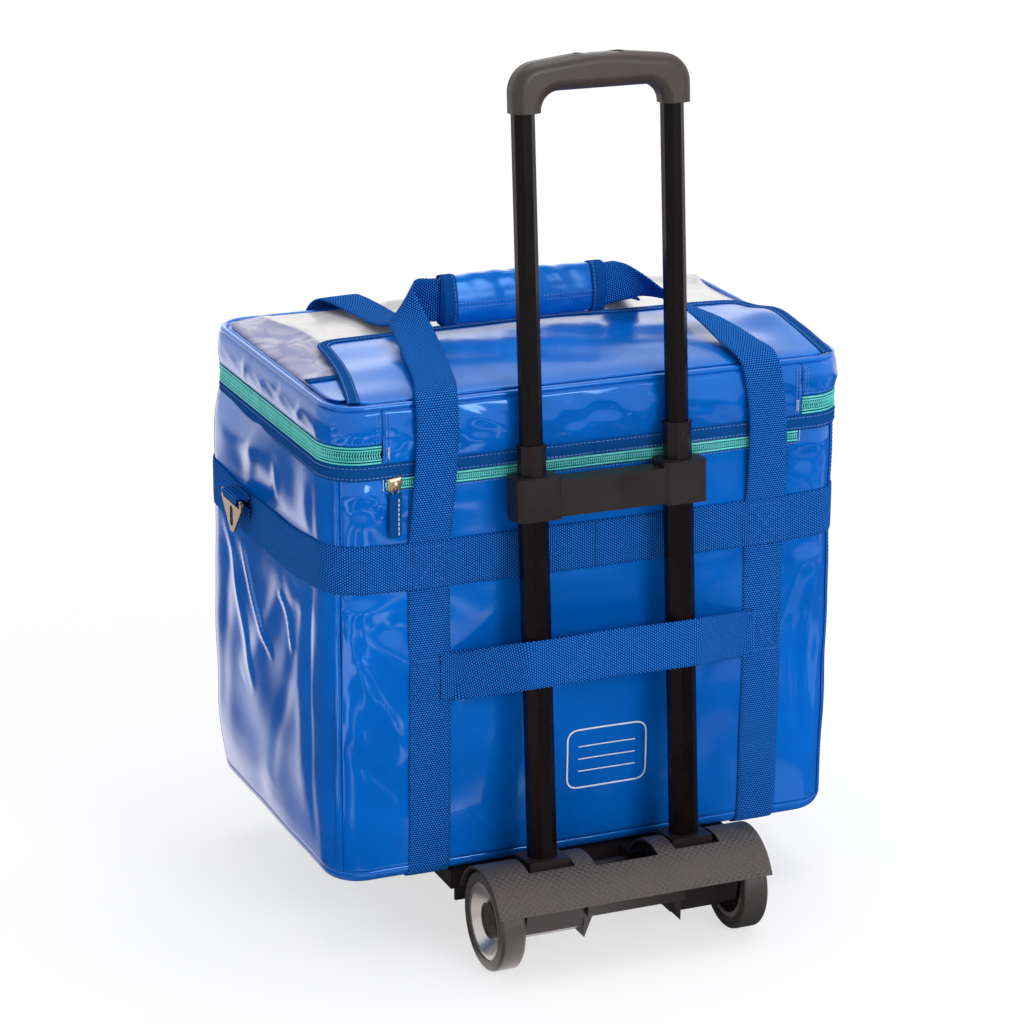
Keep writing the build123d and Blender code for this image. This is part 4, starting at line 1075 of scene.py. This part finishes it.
def makeSleeve():
    # The sleeve strap: sewn under both upright straps, bowed out over the two leaning tubes between them. A
    # second layer lies flat on the wall behind it.
    (x0, x1), endZ, tubeZ = sleeveShape["ends"], sleeveShape["endZ"], sleeveShape["tubeZ"]
    tubeY, side = frontY + sleeveShape["tubeFace"], sleeveShape["tubeEdge"]
    y0, y1 = (wallPoint(x, endZ, 0.0030)[1] for x in (x0, x1))
    points = [(x0 - 0.010, y0 + 0.0008, endZ), (x0, y0, endZ), (x0 + 0.004, y0 - 0.003, endZ),
              (-side - 0.004, tubeY + 0.0030, tubeZ - 0.001), (-side + 0.001, tubeY + 0.0002, tubeZ),
              (-side + 0.022, tubeY, tubeZ), (0.0, tubeY + 0.0016, tubeZ + 0.0005), (side - 0.022, tubeY, tubeZ),
              (side - 0.001, tubeY + 0.0002, tubeZ), (side + 0.004, tubeY + 0.0026, tubeZ - 0.001),
              (x1 - 0.004, y1 - 0.002, endZ + 0.001), (x1, y1, endZ), (x1 + 0.010, y1 + 0.0008, endZ)]
    line = smoothPath(points, 300, 0.035)
    over = np.clip((tubeY - line[:, 1] + 0.040) / 0.040, 0, 1)
    piece = ribbon("sleeveStrap", line, xyz(0, sleeveShape["lean"] * over, 1.0), strapShape["beltWidth"],
                   strapShape["thickness"], 14)
    finishPiece(piece, bagBody, webbing, "sleeve_strap")
    back = wallPoint(np.linspace(x0 - 0.008, x1 + 0.008, 200), endZ + 0.0005, 0.0012)
    finishPiece(ribbon("sleeveBacking", back, upward, strapShape["beltWidth"], 0.0016, 12), bagBody, webbing)


def makeBoxStitches():
    # Stitched boxes with two diagonals, where the belt crosses the upright straps and where the sleeve is sewn
    # under them. "corners" are in half-widths and half-heights.
    corners = np.array([(-1, -1), (1, -1), (1, 1), (-1, 1), (-1, -1), (1, 1), (1, -1), (-1, 1)]) * (0.0140, 0.0165)
    rows = []
    for x in bagShape["strapXs"]:
        for z, out in ((bagShape["beltZ"], 0.0037), (sleeveShape["endZ"], 0.0021)):
            path = xyz(x + corners[:, 0], wallPoint(x, z, out)[1], z + corners[:, 1])
            rows.append(stitchRow(path, toFront, pitch=0.0031, length=0.0022))
    finishJoined("boxStitches", rows, bagBody, boxThread)


# Carry loops, in millimetres: x, distance behind the front and z of each strap's outer edge, then of its inner
# edge, which becomes the top edge inside the grip wrap.
loopShape = {
    "frontLeft": [
        (-165, -1, 352, -129, -1, 352), (-164, -5, 380, -128, -5, 380), (-161, -8, 425, -125, -8, 425),
        (-160, -8, 453, -124, -8, 451), (-160, -6, 474, -124, -6, 474), (-159, -1, 482, -123, -1, 482),
        (-156, 8, 486, -120, 8, 486), (-149, 30, 487, -115, 30, 489), (-144, 52, 489, -110, 52, 492),
        (-139, 78, 493, -105, 76, 496), (-135, 100, 498, -102, 96, 501), (-131, 122, 501, -101, 113, 508),
        (-127, 140, 502, -102, 129, 517), (-123, 150, 502, -104, 140, 527), (-116, 154, 501, -103, 147, 534),
        (-106, 154, 499, -97, 150, 536), (-90, 150, 498, -87, 149, 535), (-70, 148, 497, -70, 148, 533),
        (-30, 148, 497, -30, 148, 533),
    ],
    "frontRight": [
        (173, -1, 352, 137, -1, 352), (173, -5, 380, 137, -5, 380), (170, -8, 425, 136, -8, 425),
        (167, -8, 451, 133, -8, 453), (164, -6, 474, 130, -6, 474), (163, -1, 482, 128, -1, 482),
        (163, 10, 486, 127, 10, 486), (162, 35, 487, 127, 33, 488), (158, 62, 491, 126, 60, 495),
        (151, 88, 495, 124, 86, 501), (143, 112, 497, 120, 108, 507), (137, 132, 497, 115, 125, 514),
        (129, 147, 498, 108, 138, 521), (118, 153, 500, 100, 145, 527), (104, 153, 501, 92, 149, 532),
        (88, 150, 499, 82, 149, 535), (70, 148, 497, 68, 148, 533), (30, 148, 497, 30, 148, 533),
    ],
    "rearLeft": [
        (-165, 301, 360, -129, 301, 360), (-163, 306, 385, -127, 306, 385), (-153, 308, 430, -117, 308, 430),
        (-143, 308, 468, -107, 308, 470), (-139, 304, 480, -103, 304, 482), (-134, 296, 487, -98, 296, 488),
        (-128, 278, 487, -93, 278, 487), (-124, 252, 486, -89, 252, 486), (-121, 225, 486, -88, 226, 486),
        (-120, 200, 487, -90, 202, 490), (-118, 178, 490, -93, 182, 502), (-114, 162, 494, -95, 167, 518),
        (-104, 154, 499, -92, 156, 533), (-88, 152, 498, -84, 153, 534), (-70, 152, 497, -70, 152, 533),
        (-30, 152, 497, -30, 152, 533),
    ],
    "rearRight": [
        (173, 301, 360, 137, 301, 360), (173, 306, 385, 137, 306, 385), (168, 308, 430, 132, 308, 430),
        (161, 308, 468, 125, 308, 470), (157, 304, 480, 121, 304, 482), (152, 296, 487, 116, 296, 488),
        (142, 278, 487, 107, 278, 487), (133, 252, 486, 99, 252, 486), (127, 225, 486, 94, 226, 486),
        (123, 200, 487, 92, 202, 490), (119, 178, 490, 93, 182, 502), (114, 162, 494, 93, 167, 518),
        (103, 154, 499, 88, 156, 533), (86, 152, 498, 80, 153, 534), (68, 152, 497, 66, 152, 533),
        (30, 152, 497, 30, 152, 533),
    ],
}


def makeLoop(name, body, sides, railY, node):
    # Two straps given by their edges, and the straight stretch between them inside the grip wrap.
    parts = []
    for side in sides:
        rows = np.array(loopShape[side]).reshape(-1, 2, 3) * 0.001 + [0, frontY, 0]
        parts.append(edgeRibbon(name, rows[:, 0], rows[:, 1], strapShape["thickness"]))
    rail = xyz(np.linspace(-0.032, 0.032, 20), frontY + railY, strapShape["wrapZ"])
    parts.append(ribbon(name, rail, upward, strapShape["strapWidth"], strapShape["thickness"], 12))
    return finishJoined(name, parts, body, webbing, node)


def makeLoops():
    # The front loop crosses the lid's fold, so it turns smoothly from the bag to the lid there.
    front = makeLoop("frontLoop", None, ("frontLeft", "frontRight"), 0.148, "front_loop")
    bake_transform(front)
    rear = makeLoop("rearLoop", "rear_carry_loop", ("rearLeft", "rearRight"), 0.152, "rear_loop")
    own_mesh(rear)


makeBelt()
makeUprightStraps()
makeSleeve()
makeBoxStitches()
makeLoops()
print("webbing made")


wrapShape = {"x0": -0.0770, "x1": 0.0700, "halfTall": 0.0212, "halfThick": 0.0100, "power": 0.62,
             "seamStep": 0.0010, "leanBack": 0.34, "endTape": 0.0125, "seamZs": (0.5135, 0.5097)}


def makeWrap():
    # A stuffed sleeve round both rails: a flattened round section that swells between its bound ends. Above the
    # lap seam, at mid-height of its front, the front leans back; below it the lower layer stands proud.
    shape, wrapZ = wrapShape, strapShape["wrapZ"]
    x = np.linspace(shape["x0"], shape["x1"], 120)[:, None]
    turn = np.linspace(0, 2 * math.pi, 56, endpoint=False)
    share = (x - shape["x0"]) / (shape["x1"] - shape["x0"])
    swell = 0.90 + 0.10 * np.sin(np.clip(share, 0, 1) * math.pi) ** 0.45
    ripple = 1 + np.sin(share * math.pi) * (0.030 * np.sin(x * 130 + 2.4 * turn) * np.sin(turn * 2 + 1)
                                            + 0.022 * np.sin(x * 290 - 3.0 * turn + 1.1))
    cosT, sinT = np.cos(turn), np.sin(turn)
    atFront = np.clip(-cosT * 3, 0, 1)
    rz = np.sign(sinT) * np.abs(sinT) ** (shape["power"] * 1.15)
    lean = shape["leanBack"] * np.clip(rz, 0, 1) ** 1.1 * atFront
    ry = np.sign(cosT) * np.abs(cosT) ** shape["power"] * (1 - lean)
    dent = -shape["seamStep"] / (1 + np.exp((rz - 0.03) / 0.035)) * atFront
    y, z = midY + shape["halfThick"] * swell * ry * ripple + dent, wrapZ + shape["halfTall"] * swell * rz * ripple
    piece = finishPiece(tubePiece("gripWrap", xyz(x, y, z)), lidBody, lidCloth, "grip_wrap")
    outY = midY + 0.92 * shape["halfThick"] * ry + dent + 0.0012 * np.sign(ry) * np.abs(ry) ** 0.5
    outZ = wrapZ + (shape["halfTall"] * 0.94 + 0.0010) * rz
    bands, endRows = [], []
    for end, inward in ((shape["x0"], 1), (shape["x1"], -1)):
        centre = end + inward * (shape["endTape"] / 2 - 0.0006)
        line = xyz(centre, outY, outZ)
        line = np.concatenate([line, line[:1]])
        bands.append(ribbon("band", line, toRight, shape["endTape"], 0.0012, 8))
        away = line - (centre, midY, wrapZ)
        inner = line + (inward * (shape["endTape"] / 2 - 0.0022), 0, 0)
        endRows.append(stitchRow(inner + unit(away) * 0.0007, away))
    finishJoined("wrapBinding", bands, lidBody, binding)
    finishJoined("bandStitches", endRows, lidBody, thread)
    seamX, seamY = np.linspace(x[3, 0], x[-4, 0], 60), midY - shape["halfThick"] - shape["seamStep"] + 0.0002
    seams = [stitchRow(xyz(seamX, seamY, seamZ), toFront) for seamZ in shape["seamZs"]]
    finishJoined("wrapStitches", seams, lidBody, thread)


tabShape = {"barZ": 0.346, "slope": 0.36, "gap": 0.0031, "width": 0.037, "thick": 0.0017, "wallAt": (0.422, 0.338)}


def makeTabs():
    # Each ring hangs in a folded tab: webbing sewn to the belt runs out and up, round the ring's bar and back.
    tabLow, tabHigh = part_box("ring_tabs")
    bar, ringY = float(tabHigh[0]) - 0.0036, float(tabLow[1] + tabHigh[1]) / 2
    r, barZ, (wallA, wallZ) = tabShape["gap"], tabShape["barZ"], tabShape["wallAt"]
    turn = np.linspace(math.pi / 2 + 0.3, -math.pi / 2 - 0.3, 16)
    tabs = []
    for side in (-1, 1):
        face = abs(wallPoint(side * wallA, wallZ)[0]) + 0.0026
        z = barZ - (bar - face) * tabShape["slope"]
        points = np.concatenate([
            [(face, z + r + 0.0060), (face + 0.0004, z + r + 0.0015), (face + 0.0030, z + r + 0.0008)],
            np.column_stack([bar + r * np.cos(turn), barZ + r * np.sin(turn)]),
            [(face + 0.0030, z - r + 0.0006), (face + 0.0004, z - r - 0.0010), (face, z - r - 0.0100)]])
        line = smoothPath(xyz(side * points[:, 0], ringY, points[:, 1]), 110, 0.04)
        tabs.append(ribbon("tab", line, toRear, tabShape["width"], tabShape["thick"]))
    finishJoined("ringTabs", tabs, bagBody, webbing, "ring_tabs")


pocketShape = {"z": 0.4105, "half": 0.1840, "tall": 0.0108, "coilPitch": 0.0019,
               "coil": (0.0022, 0.0013, 0.0012, 0.75), "coilUp": 0.0011, "stitchUp": 0.0062, "cordUp": 0.0036}


def makePocketZip():
    # The pocket's zip in the front wall: flat tape, a run of coil turns along its middle, cords and stitches.
    z, half = pocketShape["z"], pocketShape["half"]
    x = np.linspace(-half, half, 200)
    zs = z + pocketShape["tall"] * np.array([-0.5, -0.2, -0.14, 0.14, 0.2, 0.5])
    outs = np.array([0.0006, 0.0006, 0.0012, 0.0012, 0.0006, 0.0006])
    piece = gridPiece("pocketZip", wallPoint(x[:, None], zs, outs), planeUv(x[:, None], zs))
    finishPiece(thicken(fixNormals(piece), 0.0005, 0.0), bagBody, tape, "pocket_zip")
    spots = np.arange(-half, half, pocketShape["coilPitch"])
    coils, edges, cords = [], [], []
    for sign in (-1, 1):
        at = wallPoint(spots, z + sign * pocketShape["coilUp"], 0.0015)
        lean = unit(np.array([0.35 * sign, 0, 1.0]))
        coils.append(copies("coil", *beadShape(*pocketShape["coil"]), at, lean, toFront))
        edges.append(stitchRow(wallPoint(x, z + sign * pocketShape["stitchUp"], 0.0009), toFront))
        line = wallPoint(x, z + sign * pocketShape["cordUp"], 0.0012)
        cords.append(ribbon("cord", line, upward, 0.0014, 0.0009, 6, 0.7))
    finishJoined("pocketCoil", coils, bagBody, teethFinish)
    finishJoined("pocketStitches", edges, bagBody, thread)
    finishJoined("pocketCords", cords, bagBody, teethFinish)
    barTacks("pocketTacks", (-0.1862, 0.1862), (z - 0.0050, z + 0.0050), 0.0014)


def makePull():
    # The fabric pull: a folded tape through the slider's ring, with one pale row of stitches.
    low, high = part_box("pocket_pull")
    x, y = (float(low[k] + high[k]) / 2 for k in (0, 1))
    top, foot, body = float(high[2]), float(low[2]), "pocket_pull_body"
    z = np.linspace(top - 0.006, foot, 40)
    line = xyz(x, y + 0.0004 * np.sin((z - foot) * 90), z)
    finishPiece(ribbon("pocketPull", line, toRight, 0.0105, 0.0016), body, binding, "pocket_pull")
    row = stitchRow(line[4:-3] + (0.0026, -0.0010, 0), toFront, pitch=0.0040, length=0.0030, width=0.0011)
    finishJoined("pullStitches", [row], body, paleThread)
    turn = np.linspace(0, 2 * math.pi, 40)
    ring = xyz(x + 0.0030 * np.cos(turn), y, top - 0.0034 + 0.0040 * np.sin(turn))
    finishPiece(ribbon("pullRing", ring, toRear, 0.0011, 0.0011, 6, 0.8), body, bronze)


def makeSlider():
    # The pocket slider: a crowned shield with a bridge over it for the ring.
    low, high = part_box("pocket_slider")
    x, y, z = float(low[0] + high[0]) / 2, float(high[1]) - 0.0002, pocketShape["z"]
    u, v = np.linspace(-1, 1, 22)[:, None], np.linspace(-1, 1, 22)[None, :]
    rim = np.clip(1 - np.maximum(np.abs(u), np.abs(v)) ** 6, 0, 1)
    points = xyz(x + 0.0062 * u * (1 - 0.28 * np.clip(-v, 0, 1) ** 2),
                 y - 0.0016 * np.sqrt(rim) - 0.0006 * (1 - u ** 2) * (1 - v ** 2), z + 0.0054 * v + 0.0008 * u)
    shield = thicken(fixNormals(gridPiece("shield", points)), 0.0006, 0.0)
    turn = np.linspace(0, math.pi, 24)
    arch = xyz(x, y - 0.0012 - 0.0022 * np.sin(turn), z - 0.0005 + 0.0034 * np.cos(turn))
    bridge = ribbon("bridge", arch, toRight, 0.0030, 0.0009, 8, 0.5)
    finishJoined("pocketSlider", [shield, bridge], "pocket_slider_body", bronze, "pocket_slider")


# The blades of the wheels' inner faces, and the disc behind them as (radius, depth).
fanShape = {"blades": 15, "from": 0.0085, "to": 0.0285, "deep": 0.0050, "thick": 0.0016, "slant": 0.45,
            "disc": [(0.0045, 0.0062), (0.0045, 0.0), (0.0095, 0.0), (0.0095, 0.0056), (0.0278, 0.0056),
                     (0.0278, 0.0008), (0.0300, 0.0008), (0.0300, 0.0004)]}


def makeFans():
    # The wheels' inner faces: a dark disc with slanting blades between a hub ring and the rim.
    deep, middle = fanShape["deep"], (fanShape["from"] + fanShape["to"]) / 2
    size = np.array([(fanShape["to"] - fanShape["from"]) * 1.05, fanShape["thick"], deep])
    corners = np.array([(sx, sy, sz) for sx in (-1, 1) for sy in (-1, 1) for sz in (-1, 1)]) * size / 2
    faces = [[0, 1, 3, 2], [4, 6, 7, 5], [0, 4, 5, 1], [2, 3, 7, 6], [0, 2, 6, 4], [1, 5, 7, 3]]
    for side, hand in ((-1, "left"), (1, "right")):
        low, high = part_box("rim_" + hand)
        inner = float(low[0] if side > 0 else high[0])
        cy, cz = (float(low[k] + high[k]) / 2 for k in (1, 2))
        turn = np.arange(fanShape["blades"]) * 2 * math.pi / fanShape["blades"]
        outward, around = xyz(0, np.cos(turn), np.sin(turn)), xyz(0, -np.sin(turn), np.cos(turn))
        along = unit(outward + fanShape["slant"] * around)
        places = outward * middle + (inner + side * (deep / 2 + 0.0002), cy, cz)
        blades = copies("blades", corners, faces, places, along, (side * 1.0, 0, 0))
        turn = np.linspace(0, 2 * math.pi, 48, endpoint=False)[None, :]
        radius, depth = np.array(fanShape["disc"]).T[:, :, None]
        points = xyz(inner + side * depth, cy + radius * np.cos(turn), cz + radius * np.sin(turn))
        disc = gridPiece("disc", points, closeColumns=True)
        for part in (blades, disc):
            shadeSmooth(part.data, False)
        finishPiece(fixNormals(joinPieces("wheelFan", [disc, blades])), "wheel_" + hand, darkCharcoal)


panelPrint = {"x": 0.012, "z": 0.150, "halfWide": 0.036, "halfTall": 0.026, "corner": 0.008, "line": 0.0014,
              "ruled": 0.0009, "ruledShare": 0.72, "ruledStep": 0.011}


def printLine(points, width):
    # A thin line of ink that follows the wall.
    a, z = smoothPath(points, 90, 0.02).T
    place = wallPoint(a, z, 0.0004)
    across = np.cross(unit(np.gradient(place, axis=0)), toFront)
    return ribbon("ink", place, across, width, 0.0003, 4, 0.2)


def makePrint():
    # A plain printed panel for notes: a rounded outline with ruled lines.
    x, z, hx, hz, r = (panelPrint[key] for key in ("x", "z", "halfWide", "halfTall", "corner"))
    turn = np.linspace(0, math.pi / 2, 8)
    arcs = []
    for sx, sz, start in ((1, -1, -math.pi / 2), (1, 1, 0), (-1, 1, math.pi / 2), (-1, -1, math.pi)):
        arcs.append(np.column_stack([x + sx * (hx - r) + r * np.cos(start + turn),
                                     z + sz * (hz - r) + r * np.sin(start + turn)]))
    strips = [printLine(np.concatenate(arcs + [arcs[0][:1]]), panelPrint["line"])]
    reach = hx * panelPrint["ruledShare"]
    for step in (-1, 0, 1):
        height = z + step * panelPrint["ruledStep"]
        strips.append(printLine([(x - reach, height), (x + reach, height)], panelPrint["ruled"]))
    finishJoined("panelPrint", strips, bagBody, inkFinish)


makeWrap()
makeFans()
makeTabs()
makePocketZip()
makePull()
makeSlider()
makePrint()
print("small fittings made")


stageShape = {"floorSize": 14, "floorColour": (0.90, 0.90, 0.905, 1), "shownColour": (0.36, 0.36, 0.365, 1),
              "shownGlow": 0.66, "fade": (0.55, 1.15), "worldLight": 0.55, "white": (1, 1, 1, 1)}


def makePlane(name, size, place, material):
    bpy.ops.mesh.primitive_plane_add(size=size, location=place)
    plane = bpy.context.object
    plane.name = name
    plane.data.materials.append(material)


def fadedOut(place, reach):
    # 0 near the middle of the floor, 1 beyond the second distance.
    flat = place.into("ShaderNodeVectorMath", 0, {1: (1, 1, 0)}, operation="MULTIPLY")
    return fit(flat.into("ShaderNodeVectorMath", 0, output="Value", operation="LENGTH"), *reach,
               interpolation_type="SMOOTHSTEP")


def inSight(tree):
    # 1 for rays from the camera and for mirrored and see-through ones.
    outputs = put(tree, "ShaderNodeLightPath").socket.node.outputs
    camera, glossy, clear = (Wire(outputs["Is " + kind + " Ray"]) for kind in ("Camera", "Glossy", "Transmission"))
    return camera.do("MAXIMUM", glossy).do("MAXIMUM", clear)


def mixShaders(factor, first, second):
    return factor.into("ShaderNodeMixShader", 0, {1: first, 2: second})


def makeStage():
    # A pale floor whose shadows show softly, and which gives way to plain white further out.
    material, shader = newMaterial("pale floor")
    tree, white = material.node_tree, stageShape["white"]
    setInputs(shader, {"Roughness": 0.8, "Base Color": stageShape["floorColour"]})
    glow = put(tree, "ShaderNodeEmission", {"Color": white, "Strength": stageShape["shownGlow"]})
    matt = put(tree, "ShaderNodeBsdfDiffuse", {"Color": stageShape["shownColour"]})
    away = fadedOut(put(tree, "ShaderNodeNewGeometry", output="Position"), stageShape["fade"])
    plain = put(tree, "ShaderNodeEmission", {"Color": white, "Strength": 1.0})
    faded = mixShaders(away, matt.into("ShaderNodeAddShader", 0, {1: glow}), plain)
    setInputs(tree.nodes["Material Output"],
              {"Surface": mixShaders(inSight(tree), Wire(shader.outputs[0]), faded)})
    makePlane("floor", stageShape["floorSize"], (0, 2.0, 0), material)

    world = bpy.data.worlds.new("studio")
    bpy.context.scene.world = world
    world.use_nodes = True
    tree = world.node_tree
    tree.nodes.clear()
    soft, bright = (put(tree, "ShaderNodeBackground", {"Color": white, "Strength": strength})
                    for strength in (stageShape["worldLight"], 1.0))
    setInputs(tree.nodes.new("ShaderNodeOutputWorld"), {"Surface": mixShaders(inSight(tree), soft, bright)})


# The card's brightness where the left wall mirrors it, in the streaks at the front wall's ends and elsewhere.
cardShape = {"size": 5.0, "height": 0.0015, "dark": 0.05, "leftMid": 0.42, "leftBright": 1.50, "streak": 2.8,
             "rightShare": 0.25, "fade": (1.5, 2.4), "colour": (1.0, 0.93, 0.92, 1.0)}


def makeCard():
    # A dark card on the floor, which only reflections show: the glossy cloth stays deep blue where it mirrors the
    # card. It pales far out, in a few soft streaks, and in the area that the left wall's far end mirrors.
    material = newMaterial("dark card")[0]
    tree = material.node_tree
    place = put(tree, "ShaderNodeNewGeometry", output="Position")
    x, y = split(place)[:2]
    haze = noise(place, 7.0, 3.0, distort=1.0)
    swayed = y + (x + 0.24) * 3.0 + (haze - 0.5) * 0.2
    mid = fit(swayed, -0.17, -0.03, 0, cardShape["leftMid"])
    far = fit(swayed, -0.03, 0.18, 0, cardShape["leftBright"] - cardShape["leftMid"])
    left = (mid + far) * fit(x, -0.20, -0.25)
    # The front wall mirrors the point of the card that lies in line with it: only its two ends show streaks.
    wallX = x + (y - frontY) * 0.373
    ends = fit(wallX, -0.02, -0.05).do("MAXIMUM", fit(wallX, 0.16, 0.19, 0, cardShape["rightShare"]))
    skewed = place.into("ShaderNodeMapping", "Vector", {"Rotation": (0, 0, 0.5), "Scale": (1.0, 0.55, 1.0)})
    spots = fit(noise(skewed, 5.0, 0.0), 0.52, 0.60, 0, cardShape["streak"])
    inFront = fit(y, frontY - 0.02, frontY - 0.06) * fit(y, frontY - 1.05, frontY - 0.95)
    shown = left.do("MAXIMUM", spots * (ends * inFront)).do("MAXIMUM", fadedOut(place, cardShape["fade"]))
    glow = put(tree, "ShaderNodeEmission", {"Color": cardShape["colour"],
                                            "Strength": shown.do("MAXIMUM", cardShape["dark"])})
    mirrored = put(tree, "ShaderNodeLightPath", output="Is Glossy Ray")
    setInputs(tree.nodes["Material Output"],
              {"Surface": mixShaders(mirrored, put(tree, "ShaderNodeBsdfTransparent"), glow)})
    makePlane("darkCard", cardShape["size"], (0, 0, cardShape["height"]), material)


# Area lights: place, aim, size and power.
lights = {
    "topLight": ((0.3, 0.2, 2.6), (0, 0, 0.3), (1.8, 1.8), 26),
    "frontLight": ((0.7, -2.6, 1.4), (0, 0, 0.35), (0.9, 1.0), 29),
    "leftLight": ((-2.4, 0.4, 1.2), (0, 0, 0.3), (1.2, 1.8), 3.5),
    "rightLight": ((2.2, -0.8, 1.3), (0, 0, 0.35), (0.8, 1.6), 3),
    "backLight": ((1.0, 2.5, 1.20), (0, 0, 0.48), (2.4, 0.95), 6),
}


def hang(name, data):
    holder = bpy.data.objects.new(name, data)
    bpy.context.scene.collection.objects.link(holder)
    return holder


def makeLights():
    for name, (place, target, size, power) in lights.items():
        light = bpy.data.lights.new(name, "AREA")
        light.shape = "RECTANGLE"
        light.size, light.size_y = size
        light.energy = power
        holder = hang(name, light)
        holder.rotation_mode = "QUATERNION"
        holder.rotation_quaternion = (Vector(target) - Vector(place)).to_track_quat("-Z", "Y")
        holder.location = place


cameraFit = {"lens": 119.93, "place": (-1.10584, frontY - 2.42036, 1.23551), "pitch": 0.316432, "turn": 0.402924,
             "roll": 0.006993}


def makeCamera():
    # The camera fitted to the photograph: it looks along +X and +Y by "turn" and down by "pitch", and is rolled
    # a little.
    data = bpy.data.cameras.new("camera")
    data.lens = cameraFit["lens"]
    data.sensor_width = 36
    data.sensor_fit = "HORIZONTAL"
    camera = hang("camera", data)
    pitch, turn, roll = cameraFit["pitch"], cameraFit["turn"], cameraFit["roll"]
    ahead = np.array([math.sin(turn) * math.cos(pitch), math.cos(turn) * math.cos(pitch), -math.sin(pitch)])
    right = np.array([math.cos(turn), -math.sin(turn), 0.0])
    up = np.cross(right, ahead)
    rolledRight = math.cos(roll) * right + math.sin(roll) * up
    rolledUp = math.cos(roll) * up - math.sin(roll) * right
    turned = Matrix(np.column_stack([rolledRight, rolledUp, -ahead]).tolist()).to_4x4()
    turned.translation = cameraFit["place"]
    camera.matrix_world = turned
    bpy.context.scene.camera = camera


makeStage()
makeCard()
makeLights()
makeCamera()
bpy.context.scene.view_settings.view_transform = "Standard"
print("stage, lights and camera made")
